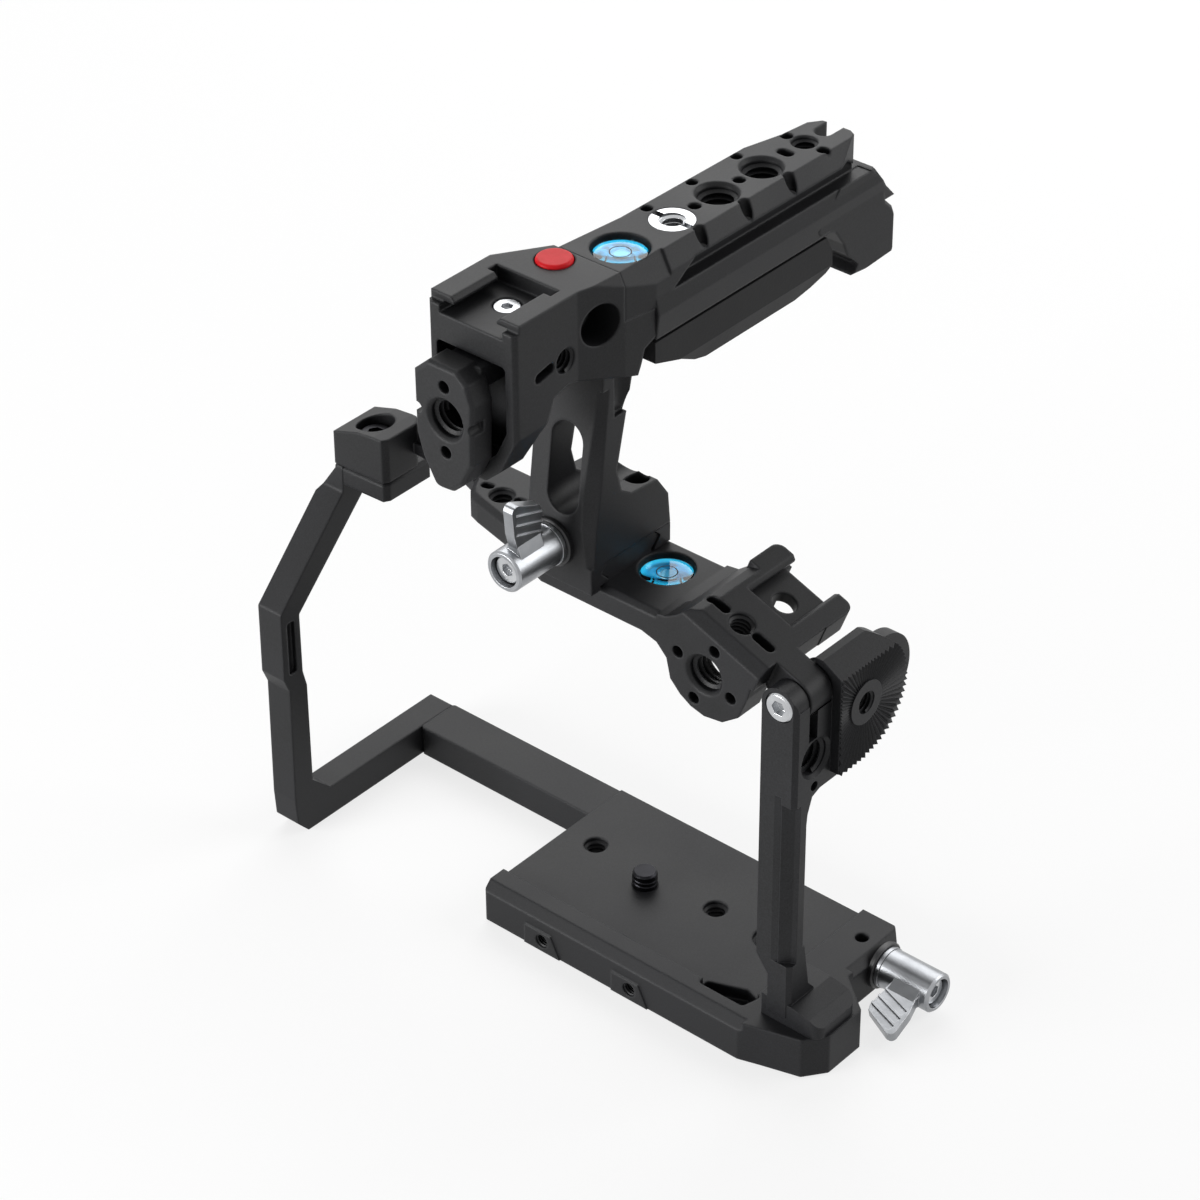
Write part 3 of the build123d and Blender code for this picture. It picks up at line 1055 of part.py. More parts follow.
# ================================================================ lock levers
def lock_parts(spindle_inner):
    """Washer, spindle, lever, spring and end screw; the axis is Z and the host face is z = 0."""
    washer = rod_z(WASHER_R, 0, 0, 0, WASHER_H) - rod_z(SPINDLE_R + RUNNING_FIT, 0, 0, -1, 3)
    washer = chamfer(washer.edges().group_by(Axis.Z)[-1].sort_by(SortBy.LENGTH)[-1], 0.3)
    spindle = rod_z(SPINDLE_R, 0, 0, -spindle_inner, WASHER_H + 0.2)
    spindle += rod_z(FLANGE_R, 0, 0, WASHER_H + 0.1, FLANGE_TOP)
    spindle += hex_z(DRIVE_FLATS, 0, 0, FLANGE_TOP - 0.01, DRIVE_TOP)
    spindle += rod_z(NECK_R, 0, 0, DRIVE_TOP - 0.01, NECK_TOP)
    spindle = chamfer(spindle.edges().group_by(Axis.Z)[0], 0.6)
    spindle -= rod_z(1.1, 0, 0, NECK_TOP - 6, NECK_TOP + 1)
    hub = rod_z(HUB_R, 0, 0, HUB_Z0, HUB_Z1)
    paddle = [
        (0, 7.4),
        (8.2, 6.6),
        (13.0, 6.3),
        (14.6, 7.0),
        (PADDLE_REACH, 15.0),
        (PADDLE_REACH - 0.1, 16.3),
        (PADDLE_REACH - 1.1, 17.0),
        (10.3, 16.4),
        (6.5, 15.4),
        (0, 15.2),
    ]
    wing = prism_xz(paddle, PADDLE_FACE, PADDLE_FACE + PADDLE_T)
    for groove in range(3):
        gx = PADDLE_REACH - 3.4 - RIDGE_PITCH * groove
        recess = Box(RIDGE_PITCH - 0.8, 2 * RIDGE_DEPTH, 10.6)
        wing -= Pos(gx, PADDLE_FACE, 10.3) * Rot(0, PADDLE_LEAN, 0) * recess
    wing = chamfer([e for e in wing.edges().filter_by(Axis.Y) if e.center().X > 17], 0.3)
    wing += prism_xy([(3.8, -3.7), (7.0, PADDLE_FACE), (7.0, PADDLE_FACE + PADDLE_T), (3.8, 1.8)], 7.3, 15.2)
    lever = hub + wing
    lever = chamfer(lever.edges().group_by(Axis.Z)[-1].sort_by(SortBy.LENGTH)[-1], 0.5)
    lever -= hex_z(DRIVE_FLATS + 2 * SLIDE_GAP, 0, 0, HUB_Z0 - 1, WEB_Z[0])
    lever -= rod_z(NECK_R + RUNNING_FIT, 0, 0, 0, 20)
    lever -= rod_z(CHAMBER_R, 0, 0, WEB_Z[1], 20)
    spring = Pos(0, 0, WEB_Z[1] + 0.05) * coil(3.1, 0.4, NECK_TOP - WEB_Z[1] - 0.1, 5)
    screw = Pos(0, 0, NECK_TOP) * socket_screw(1.1, 5.6, END_SCREW_R, END_SCREW_TOP - NECK_TOP, 3.0)
    return {"washer": washer, "spindle": spindle, "lever": lever, "spring": spring, "lever_screw": screw}


clamp_frame = Plane(origin=(SPINDLE_X, CLAMP_FRONT_Y, SPINDLE_Z), x_dir=(0, 0, 1), z_dir=(0, -1, 0))
droop = radians(14)
base_frame = Plane(origin=(RIB_X, LOCK_Y, LOCK_Z), x_dir=(0, -cos(droop), -sin(droop)), z_dir=(1, 0, 0))
spindle_reach = nut_y[1] - CLAMP_FRONT_Y
for name, shape in lock_parts(spindle_reach).items():
    parts["clamp_" + name] = biggest(clamp_frame.location * shape)
for name, shape in lock_parts(RIB_X - LOCK_PIN_X - LOCK_PIN_R - 0.2).items():
    parts["base_lock_" + name] = biggest(base_frame.location * shape)

# ================================================================ rear jaw of the clamp
jaw_points = [
    (CLAMP_REAR_Y, 121.1),
    (CLAMP_REAR_Y, CLAMP_Z0 + 1.2),
    (CLAMP_REAR_Y - 0.8, BAR_Z1 + 0.3),
    (RAIL_Y + RAIL_WAIST + gap + 0.6, BAR_Z1 + 0.3),
    (RAIL_Y + RAIL_WAIST + gap + 0.75, BAR_Z1 + 0.9),
    (RAIL_Y + RAIL_HALF + gap, flank_z),
    (RAIL_Y + RAIL_HALF + gap, flank_z + 0.5),
    (RAIL_Y + RAIL_TOP_HALF + gap + 0.2, 121.1),
]
jaw = prism_yz(jaw_points, CLAMP_X0, CLAMP_X1)
nut_points = [
    (nut_y[0], 121.5),
    (-2.2, 121.5),
    (-1.6, 121.0),
    (nut_y[1], 121.0),
    (nut_y[1], 130.0),
    (nut_y[0], 130.0),
]
nut = prism_yz(nut_points, nut_x0, nut_x1)
jaw += nut
jaw -= rod_y(SPINDLE_R, SPINDLE_X, -10, nut_y[1] + 1, SPINDLE_Z)
parts["clamp_jaw"] = biggest(jaw)

# ================================================================ output
os.makedirs("parts", exist_ok=True)
for name, shape in parts.items():
    export_step(shape, f"parts/{name}.step")
    box = shape.bounding_box()
    print(name, [round(v, 1) for v in (box.min.X, box.max.X, box.min.Y, box.max.Y, box.min.Z, box.max.Z)])
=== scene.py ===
# %% [markdown]
# # Camera cage with a top handle
# The cage is a set of milled aluminium pieces round a camera body: a base plate with the camera screw, a side plate
# with a slim rail column, a top bar, an arm on the grip side and a top handle that clamps on a short NATO rail.
# The rigid pieces come ready from the CAD model. This lesson gives each of them the finish of the real one, cuts the
# screw threads that the CAD model leaves plain, and builds the fluid, lens, circle and bubble of two round levels.

# %% Load the CAD model as a fixed frame
import json
import math

import bmesh
import bpy
from mathutils import Matrix, Vector


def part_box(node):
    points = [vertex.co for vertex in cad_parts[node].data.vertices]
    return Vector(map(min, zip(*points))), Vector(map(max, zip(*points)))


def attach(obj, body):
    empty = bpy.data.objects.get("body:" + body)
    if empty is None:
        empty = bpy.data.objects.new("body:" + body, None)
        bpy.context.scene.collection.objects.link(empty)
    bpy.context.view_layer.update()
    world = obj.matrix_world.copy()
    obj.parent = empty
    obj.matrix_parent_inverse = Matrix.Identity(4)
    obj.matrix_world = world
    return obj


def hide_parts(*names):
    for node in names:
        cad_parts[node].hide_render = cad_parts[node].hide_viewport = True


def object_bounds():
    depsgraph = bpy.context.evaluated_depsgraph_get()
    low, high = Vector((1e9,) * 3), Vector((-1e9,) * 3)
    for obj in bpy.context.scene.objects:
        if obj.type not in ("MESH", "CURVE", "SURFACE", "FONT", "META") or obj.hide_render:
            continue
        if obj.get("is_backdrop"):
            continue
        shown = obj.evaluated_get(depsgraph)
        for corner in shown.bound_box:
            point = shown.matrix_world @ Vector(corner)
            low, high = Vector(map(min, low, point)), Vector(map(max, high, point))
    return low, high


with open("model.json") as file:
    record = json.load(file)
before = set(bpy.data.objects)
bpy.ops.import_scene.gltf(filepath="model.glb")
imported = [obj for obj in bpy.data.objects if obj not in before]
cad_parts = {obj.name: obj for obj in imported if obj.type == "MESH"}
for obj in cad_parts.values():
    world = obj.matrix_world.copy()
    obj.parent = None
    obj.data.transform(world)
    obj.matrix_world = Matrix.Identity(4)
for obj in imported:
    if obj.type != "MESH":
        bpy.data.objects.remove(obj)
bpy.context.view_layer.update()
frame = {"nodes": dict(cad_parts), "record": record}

nodes = frame["nodes"]
mounts = {mount["name"]: mount for mount in frame["record"]["mounts"]}

# %% [markdown]
# ## Units, colours and objects
# Blender works in metres here, so lengths are written in millimetres and multiplied by MM. A colour is written as the
# sRGB hex value that a colour picker shows, and one function turns it into the linear values that shaders work with.
# A second function puts a mesh, a lamp or a camera into the scene as a named object.

# %% Units, one colour function and one object function
MM = 0.001


def linear(hex_colour):
    """sRGB hex text to linear RGBA."""
    channels = [int(hex_colour[i:i + 2], 16) / 255 for i in (1, 3, 5)]
    curve = [c / 12.92 if c <= 0.04045 else ((c + 0.055) / 1.055) ** 2.4 for c in channels]
    return (*curve, 1.0)


def add_object(name, data):
    """A new object in the scene, at the origin."""
    made = bpy.data.objects.new(name, data)
    bpy.context.scene.collection.objects.link(made)
    return made


print("mid grey in linear light:", [round(c, 3) for c in linear("#808080")])

# %% [markdown]
# ## How a material is put together
# Each finish is a small node tree round a Principled shader. One function adds a node, sets its sockets and links
# them. A second one opens a new material, and returns its tree, its shader and the Object coordinates in metres.
# The others make the patterns that several finishes share. An edge is found by comparing the normal of a bevelled
# corner with the flat one: where their dot product falls from 0.99 to 0.80, the surface turns into an edge.

# %% Node and material helpers
EDGE_STARTS, EDGE_FULL = 0.99, 0.80


def add_node(tree, kind, settings=None, links=None):
    """Adds one node. A setting is a property name, or a socket by name or number; a link feeds a socket."""
    node = tree.nodes.new(kind)
    for key, value in (settings or {}).items():
        if isinstance(key, str) and hasattr(node, key):
            setattr(node, key, value)
        else:
            node.inputs[key].default_value = value
    for key, source in (links or {}).items():
        tree.links.new(source, node.inputs[key])
    return node


def open_material(name, **sockets):
    """A new material with a Principled shader whose uniform values are set on its own sockets."""
    material = bpy.data.materials.new(name)
    material.use_nodes = True
    tree = material.node_tree
    shader = tree.nodes["Principled BSDF"]
    for socket, value in sockets.items():
        shader.inputs[socket.replace("_", " ")].default_value = value
    place = add_node(tree, "ShaderNodeTexCoord").outputs["Object"]
    return material, tree, shader, place


def mottle(tree, place, size_mm, detail=3.0, roughness=0.5):
    """Soft random patches, size_mm across."""
    return add_node(tree, "ShaderNodeTexNoise",
                    {"Scale": 1.0 / (size_mm * MM), "Detail": detail, "Roughness": roughness},
                    {"Vector": place}).outputs["Fac"]


def spread(tree, value, low, high, to_low, to_high):
    """Stretches a pattern's range from low..high to to_low..to_high."""
    return add_node(tree, "ShaderNodeMapRange",
                    {"From Min": low, "From Max": high, "To Min": to_low, "To Max": to_high},
                    {"Value": value}).outputs["Result"]


def blend_colours(tree, factor, first, second):
    """Mixes two colours, given as hex text or as sockets, by a pattern."""
    settings, links = {"data_type": "RGBA"}, {0: factor}
    for socket, colour in ((6, first), (7, second)):
        if isinstance(colour, str):
            settings[socket] = linear(colour)
        else:
            links[socket] = colour
    return add_node(tree, "ShaderNodeMix", settings, links).outputs[2]


def raise_surface(tree, height, depth_mm, strength=1.0, normal=None):
    """A bump that stands depth_mm proud where the pattern is 1."""
    return add_node(tree, "ShaderNodeBump", {"Distance": depth_mm * MM, "Strength": strength},
                    {"Height": height, **({"Normal": normal} if normal else {})}).outputs["Normal"]


def soft_edge(tree, radius_mm):
    """The broken edge of a machined piece: a normal that turns over radius_mm, and a mask, 1 on the edge."""
    bevel = add_node(tree, "ShaderNodeBevel", {"samples": 6, "Radius": radius_mm * MM}).outputs["Normal"]
    flat = add_node(tree, "ShaderNodeNewGeometry").outputs["True Normal"]
    alike = add_node(tree, "ShaderNodeVectorMath", {"operation": "DOT_PRODUCT"},
                     {0: bevel, 1: flat}).outputs["Value"]
    return bevel, spread(tree, alike, EDGE_STARTS, EDGE_FULL, 0.0, 1.0)


print("helpers ready")

# %% [markdown]
# ## Black anodised aluminium
# The cage is milled from aluminium, bead blasted to a fine even matt, and dyed black in the anodising bath. The film
# is a hard clear oxide over black pores, so it is a dielectric and not a metal: a deep charcoal with a soft grey
# sheen. The blasting leaves pits of about 0.05 mm. They are drawn 0.35 mm wide, because finer ones can't show here.
# Milled edges are rounded by just under a millimetre, and a paler colour is painted along them as a highlight, for
# the thin pale lines where they catch the light. Teeth and threads are cut after the blasting, so theirs stay crisp.

# %% Black anodised aluminium
CLOUDS_MM, PITS_MM, PITS_DEPTH_MM = 24.0, 0.35, 0.012


def anodised(name, deep, pale, edge, roughness, edge_mm):
    """Two near blacks in wide clouds, fine pits, and a painted highlight: a paler line of edge_mm along each corner.
    """
    material, tree, shader, place = open_material(name, Metallic=0.0, IOR=1.5, Specular_IOR_Level=0.2)
    normal, on_edge = soft_edge(tree, edge_mm)
    clouds = mottle(tree, place, CLOUDS_MM, 2.0)
    pits = mottle(tree, place, PITS_MM, 2.0, 0.6)
    body = blend_colours(tree, spread(tree, clouds, 0.35, 0.65, 0.0, 1.0), deep, pale)
    speck = blend_colours(tree, spread(tree, pits, 0.35, 0.75, 0.0, 0.35), body, edge)
    # The edge colour laid along each corner is a painted highlight.
    painted_edge_highlight = blend_colours(tree, spread(tree, on_edge, 0.0, 1.0, 0.0, 0.7), speck, edge)
    tree.links.new(painted_edge_highlight, shader.inputs["Base Color"])
    tree.links.new(spread(tree, clouds, 0.3, 0.7, roughness - 0.03, roughness + 0.03),
                   shader.inputs["Roughness"])
    tree.links.new(raise_surface(tree, pits, PITS_DEPTH_MM, 0.5, normal), shader.inputs["Normal"])
    return material


# The third colour of each finish is its painted edge highlight.
BLACK_ANODISED = anodised("black_anodised_aluminium", "#101011", "#151517", "#2c2d2f", 0.47, 0.9)
CRISP_ANODISED = anodised("black_anodised_cut_teeth", "#0f0f10", "#141416", "#303134", 0.45, 0.2)
print("made", BLACK_ANODISED.name, "and", CRISP_ANODISED.name)

# %% [markdown]
# ## Moulded rubber
# The pad under the handle grip is a moulded rubber strip. It is a little duller than the metal, with a fine
# leather-like grain of about 0.6 mm from the mould, and no bright edges.

# %% Moulded rubber
GRAIN_MM, GRAIN_DEPTH_MM = 0.6, 0.04


def rubber(name, deep, pale):
    """A dull near black with a rounded grain."""
    material, tree, shader, place = open_material(name, Metallic=0.0, IOR=1.52, Specular_IOR_Level=0.2)
    grain = add_node(tree, "ShaderNodeTexVoronoi", {"Scale": 1.0 / (GRAIN_MM * MM), "feature": "SMOOTH_F1"},
                     {"Vector": place}).outputs["Distance"]
    clouds = mottle(tree, place, 12.0)
    body = blend_colours(tree, spread(tree, clouds, 0.3, 0.7, 0.0, 1.0), deep, pale)
    tree.links.new(body, shader.inputs["Base Color"])
    tree.links.new(spread(tree, clouds, 0.3, 0.7, 0.58, 0.66), shader.inputs["Roughness"])
    tree.links.new(raise_surface(tree, grain, GRAIN_DEPTH_MM, 0.6), shader.inputs["Normal"])
    return material


SOFT_RUBBER = rubber("moulded_rubber", "#121213", "#181819")
print("made", SOFT_RUBBER.name)

# %% [markdown]
# ## Machined metals
# The screws are blackened steel, whose thin oxide leaves a metal with a dark tint. The tension levers and their
# spindles are satin nickel over machined brass, a soft grey with fine turning lines about 0.3 mm apart. The hinge
# screw, the shoe screw and the thread adapter are bright turned steel. All are metals, so the colour is the colour
# of their reflection. One function makes them, because they differ only in tint, roughness and the tool's lines.
# A wave texture repeats every 0.314 / Scale metres, and so the lines get their real pitch.

# %% Machined metals
WAVE_PERIOD, METAL_EDGE_MM = 0.314, 0.18


def machined(name, dark, light, edge, roughness, line_mm, line_depth, axis):
    """Bare metal between two tints, with tool lines line_mm apart across an axis, and a paler painted highlight along
    its edges.
    """
    material, tree, shader, place = open_material(name, Metallic=1.0)
    normal, on_edge = soft_edge(tree, METAL_EDGE_MM)
    lines = add_node(tree, "ShaderNodeTexWave",
                     {"wave_type": "BANDS", "bands_direction": axis, "Scale": WAVE_PERIOD / (line_mm * MM),
                      "Distortion": 1.2, "Detail": 2.0, "Detail Scale": 1.5},
                     {"Vector": place}).outputs["Fac"]
    grit = mottle(tree, place, 0.4, 2.0)
    body = blend_colours(tree, spread(tree, mottle(tree, place, 5.0), 0.3, 0.7, 0.0, 1.0), dark, light)
    # A paler colour along each edge is a painted highlight.
    painted_edge_highlight = blend_colours(tree, spread(tree, on_edge, 0.0, 1.0, 0.0, 0.8), body, edge)
    tree.links.new(painted_edge_highlight, shader.inputs["Base Color"])
    tree.links.new(spread(tree, grit, 0.3, 0.7, roughness - 0.04, roughness + 0.05), shader.inputs["Roughness"])
    tree.links.new(raise_surface(tree, lines, line_depth, 0.35, normal), shader.inputs["Normal"])
    return material


# The third colour of each metal is its painted edge highlight.
BLACK_STEEL = machined("black_oxide_steel", "#1b1b1d", "#242427", "#5b5b5f", 0.34, 0.30, 0.004, "Z")
BRIGHT_STEEL = machined("bright_turned_steel", "#b4b5b8", "#c6c8ca", "#dfe0e2", 0.20, 0.25, 0.004, "Z")
SATIN_NICKEL = machined("satin_nickel", "#8b8d90", "#9fa1a4", "#c9cacc", 0.32, 0.28, 0.006, "Y")
SPRING_STEEL = machined("drawn_spring_wire", "#8d8f92", "#a9abae", "#cfd0d2", 0.28, 0.20, 0.003, "X")
print("made", [m.name for m in (BLACK_STEEL, BRIGHT_STEEL, SATIN_NICKEL, SPRING_STEEL)])

# %% [markdown]
# ## Small plastics and the red button
# The record button is an anodised cap, dyed a clear red over a satin surface. The switch under it and the friction
# rings under the levers are moulded plastics: dark, a little glossy, with a slight orange peel from the mould.

# %% Red cap and dark plastics
PLASTIC_EDGE_MM, PEEL_DEPTH_MM = 0.2, 0.01


def moulded(name, deep, pale, roughness, peel_mm, level):
    """A smooth dyed surface with an orange peel of peel_mm. The level is how strongly it mirrors."""
    material, tree, shader, place = open_material(name, Metallic=0.0, IOR=1.5, Specular_IOR_Level=level)
    peel = mottle(tree, place, peel_mm, 1.0)
    body = blend_colours(tree, spread(tree, mottle(tree, place, 3.0), 0.3, 0.7, 0.0, 1.0), deep, pale)
    tree.links.new(body, shader.inputs["Base Color"])
    tree.links.new(spread(tree, peel, 0.3, 0.7, roughness - 0.03, roughness + 0.04), shader.inputs["Roughness"])
    rounded = soft_edge(tree, PLASTIC_EDGE_MM)[0]
    tree.links.new(raise_surface(tree, peel, PEEL_DEPTH_MM, 0.4, rounded), shader.inputs["Normal"])
    return material


RED_CAP = moulded("red_anodised_cap", "#cc181e", "#d8222a", 0.42, 0.4, 0.12)
SWITCH_PLASTIC = moulded("moulded_switch_plastic", "#202022", "#28282a", 0.45, 0.8, 0.5)
RING_PLASTIC = moulded("acetal_friction_ring", "#121213", "#19191b", 0.40, 0.6, 0.5)
print("made", [m.name for m in (RED_CAP, SWITCH_PLASTIC, RING_PLASTIC)])

# %% [markdown]
# ## Spirit levels
# Each level is a clear acrylic vial with a tinted fluid, a printed circle and a bubble. Acrylic bends light like
# glass, with an index of 1.49. The fluid's light and shade are painted: a bright cyan at the rim stands for light
# that entered the dome and comes out there, and a deeper blue in the middle is painted shade over the dark recess.
# That is drawn by the distance from the vial's own axis. The fluid also glows a little in its own colour, a painted
# light that stands for the light that the dome gathers.

# %% Acrylic, fluid, print and bubble
LEVELS = {
    "bar_level": {"body": "cage", "case": "bar_level_case", "fluid": "bar_level_fluid"},
    "handle_level": {"body": "handle", "case": "handle_level_case", "fluid": "handle_level_fluid"},
}


def acrylic():
    """Clear plastic with the faint tint of the fluid under it."""
    material, tree, shader, place = open_material("clear_acrylic", IOR=1.49, Transmission_Weight=1.0)
    haze = mottle(tree, place, 2.0, 2.0)
    tree.links.new(blend_colours(tree, spread(tree, haze, 0.3, 0.7, 0.0, 1.0), "#b4f0ff", "#c8f5ff"),
                   shader.inputs["Base Color"])
    tree.links.new(spread(tree, haze, 0.3, 0.7, 0.0, 0.03), shader.inputs["Roughness"])
    return material


def level_fluid(name, case_node):
    """Cyan fluid with a painted rim light and painted shade in the middle, drawn by the distance from the axis of
    this vial.
    """
    low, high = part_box(case_node)
    centre, radius = (low + high) / 2, (high.x - low.x) / 2
    material, tree, shader, place = open_material(name, IOR=1.36, Specular_IOR_Level=0.5, Emission_Strength=0.5)
    offset = add_node(tree, "ShaderNodeVectorMath", {"operation": "SUBTRACT", 1: centre},
                      {0: place}).outputs["Vector"]
    across = add_node(tree, "ShaderNodeVectorMath", {"operation": "MULTIPLY", 1: (1 / radius, 1 / radius, 0)},
                      {0: offset}).outputs["Vector"]
    out = add_node(tree, "ShaderNodeVectorMath", {"operation": "LENGTH"}, {0: across}).outputs["Value"]
    ripple = mottle(tree, place, 2.6, 1.0)
    # The deeper blue, with random ripples, is painted shade over the dark recess.
    deep = blend_colours(tree, spread(tree, ripple, 0.42, 0.58, 0.0, 1.0), "#0d6b8e", "#27a3d0")
    # Painted rim light: the fluid turns bright cyan towards the edge of the vial.
    painted_rim_light = add_node(tree, "ShaderNodeMapRange",
                   {"interpolation_type": "SMOOTHSTEP", "From Min": 0.66, "From Max": 0.92}, {"Value": out})
    cyan = blend_colours(tree, painted_rim_light.outputs["Result"], deep, "#46dcff")
    tree.links.new(cyan, shader.inputs["Base Color"])
    # The fluid glows faintly in its own colour: a painted light.
    tree.links.new(cyan, shader.inputs["Emission Color"])
    tree.links.new(spread(tree, ripple, 0.3, 0.7, 0.05, 0.12), shader.inputs["Roughness"])
    return material


CLEAR_ACRYLIC = acrylic()
FLUIDS = {name: level_fluid(name + "_cyan_fluid", level["case"]) for name, level in LEVELS.items()}
RING_PRINT = moulded("printed_level_ring", "#1a1413", "#231c1a", 0.5, 0.5, 0.4)
# The bubble's pale cyan is a painted highlight, the light that the skin of the air reflects.
BUBBLE_SKIN = moulded("pale_air_bubble", "#8fdcff", "#a8e6ff", 0.12, 1.0, 0.5)
print("made", [m.name for m in FLUIDS.values()])

# %% [markdown]
# ## Give every CAD piece its finish
# The CAD node objects keep their shapes and places. Only their material slots change.

# %% Assign the finishes
FINISHES = {
    BLACK_ANODISED: ["base_plate", "top_bar", "grip_side_arm", "handle_head", "front_mount", "handle_grip"],
    CRISP_ANODISED: ["side_plate", "nato_rail", "clamp_jaw"],
    SOFT_RUBBER: ["grip_pad"],
    BLACK_STEEL: ["camera_screw", "base_foot_screws", "base_arm_screws", "arm_bolt", "nato_rail_screws",
                  "grip_joint_screws", "grip_pad_screws"],
    RING_PLASTIC: ["base_lock_washer", "clamp_washer"],
    BRIGHT_STEEL: ["hinge_screw", "shoe_screw", "thread_adapter", "base_lock_lever_screw", "clamp_lever_screw"],
    SATIN_NICKEL: ["base_lock_lever", "clamp_lever", "base_lock_spindle", "clamp_spindle"],
    SPRING_STEEL: ["base_lock_spring", "clamp_spring", "record_spring"],
    RED_CAP: ["record_button"],
    SWITCH_PLASTIC: ["record_switch"],
    CLEAR_ACRYLIC: ["bar_level_case", "handle_level_case"],
    FLUIDS["bar_level"]: ["bar_level_fluid"],
    FLUIDS["handle_level"]: ["handle_level_fluid"],
}
finished = set()
for material, names in FINISHES.items():
    for name in names:
        slots = nodes[name].material_slots
        if not slots:
            nodes[name].data.materials.append(material)
        for slot in slots:
            slot.material = material
        finished.add(name)
print("finished", len(finished), "of", len(nodes), "missing:", sorted(set(nodes) - finished))

# %% [markdown]
# ## From a shape to a piece
# A shape is built round the origin, and then moved to its place inside its own mesh. It rides on a body of the CAD
# model, so it follows when the handle slides or a screw turns.

# %% One function that finishes a piece
def finish_piece(mesh, name, material, body, place, smooth=True):
    """Turns a bmesh into a piece that rides on a body, with its place in its mesh."""
    bmesh.ops.transform(mesh, matrix=place, verts=mesh.verts)
    bmesh.ops.recalc_face_normals(mesh, faces=mesh.faces)
    data = bpy.data.meshes.new(name)
    mesh.to_mesh(data)
    mesh.free()
    data.materials.append(material)
    for face in data.polygons:
        face.use_smooth = smooth
    piece = add_object(name, data)
    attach(piece, body)
    return piece


print("piece function ready")

# %% [markdown]
# ## Screw threads
# The CAD bores are plain at the thread's outer diameter. The real ones show sharp spiral ridges, so each threaded
# bore gets its own ridge: a small four-cornered profile that a spin carries round the bore and down it at once. The
# profile's flanks and its depth of 0.54 pitches are those of a unified or metric thread, and its foot reaches a hair
# into the wall. The stud of the camera screw has its full diameter already, so its ridge stands only a little proud.

# %% One spiral ridge per threaded bore
PITCH_MM = {3.175: 1.27, 4.7625: 1.5875, 2.0: 0.7, 3.0: 1.0}
STEPS_PER_TURN = 28
THREAD_DEPTH, FOOT_HALF, CREST_HALF = 0.5413, 0.44, 0.10
BORE_BITE_MM, STUD_BITE_MM, STUD_PROUD_MM = 0.08, 0.1, 0.14


def spiral(radius_mm, pitch_mm, length_mm, inward=True):
    """A thread ridge on an axis along Z. It starts half a pitch under z = 0 and goes down."""
    if inward:
        foot, crest = radius_mm + BORE_BITE_MM, radius_mm - THREAD_DEPTH * pitch_mm
    else:
        foot, crest = radius_mm - STUD_BITE_MM, radius_mm + STUD_PROUD_MM
    start = 0.5 * pitch_mm
    turns = (length_mm - 2 * start) / pitch_mm
    steps = max(int(turns * STEPS_PER_TURN), STEPS_PER_TURN)
    mesh = bmesh.new()
    profile = [(foot, FOOT_HALF), (crest, CREST_HALF), (crest, -CREST_HALF), (foot, -FOOT_HALF)]
    corners = [mesh.verts.new((r * MM, 0, (z * pitch_mm - start) * MM)) for r, z in profile]
    mesh.faces.new(corners)
    bmesh.ops.spin(mesh, geom=mesh.verts[:] + mesh.edges[:] + mesh.faces[:], cent=(0, 0, 0), axis=(0, 0, 1),
                   dvec=(0, 0, -turns * pitch_mm * MM / steps), angle=turns * 2 * math.pi, steps=steps)
    return mesh


def along(mount):
    """The matrix that puts z = 0 at the bore's mouth and +Z along the way out."""
    turn = Vector((0, 0, 1)).rotation_difference(Vector(mount["axis"])).to_matrix().to_4x4()
    return Matrix.Translation(Vector(mount["pos_m"])) @ turn


thread_faces = 0
for name, mount in mounts.items():
    if mount["kind"] != "threaded_hole":
        continue
    radius = mount["dims"]["r_mm"]
    body = "handle" if name.startswith(("handle", "front_mount")) else "cage"
    bright = name == "handle_adapter_quarter"
    piece = finish_piece(spiral(radius, PITCH_MM[radius], mount["dims"]["length_mm"]), name + "_thread",
                         BRIGHT_STEEL if bright else CRISP_ANODISED, body,
                         along(mount), smooth=False)
    thread_faces += len(piece.data.polygons)
stud = mounts["camera_screw_stud"]
radius = stud["dims"]["r_mm"]
finish_piece(spiral(radius, PITCH_MM[radius], stud["dims"]["length_mm"], inward=False),
             "camera_screw_thread", BLACK_STEEL, "camera_screw_body", along(stud), smooth=False)
print("thread faces:", thread_faces)

# %% [markdown]
# ## The vials of the two levels
# A round level is a cup of cyan fluid under a clear lens with a low dome. Each part is turned, so one outline is spun
# round its axis. The fluid fills the cup up to its rim, which its material paints bright cyan for the light that the
# lens gathers. The circle is printed on the lens. The bubble is a flat ball of air just under it, a little off the
# middle. Heights are counted down from the top of the vial.

# %% Fluid, lens, circle and bubble
FLUID_TOP_MM, CUP_RIM_MM, CUP_WALL_MM = -1.5, -1.37, 0.05
LENS_FOOT_MM, LENS_EDGE_MM, DOME_POINTS, DOME_FALL = -1.35, -0.45, 24, 1.4
RING_R_MM, RING_W_MM, RING_FLAT, RING_SINK_MM = 2.5, 0.30, 0.3, 0.02
BUBBLE_R_MM, BUBBLE_FLAT, BUBBLE_OFF_MM = 2.1, 0.05, (0.2, 0.3)


def turned(outline_mm, steps=96):
    """A closed turned shape: an outline of (radius, height) points from axis to axis, spun round Z."""
    mesh = bmesh.new()
    points = [mesh.verts.new((r * MM, 0, z * MM)) for r, z in outline_mm]
    edges = [mesh.edges.new(pair) for pair in zip(points, points[1:])]
    bmesh.ops.spin(mesh, geom=points + edges, cent=(0, 0, 0), axis=(0, 0, 1), angle=2 * math.pi, steps=steps,
                   use_merge=True)
    bmesh.ops.remove_doubles(mesh, verts=mesh.verts, dist=1e-7)
    return mesh


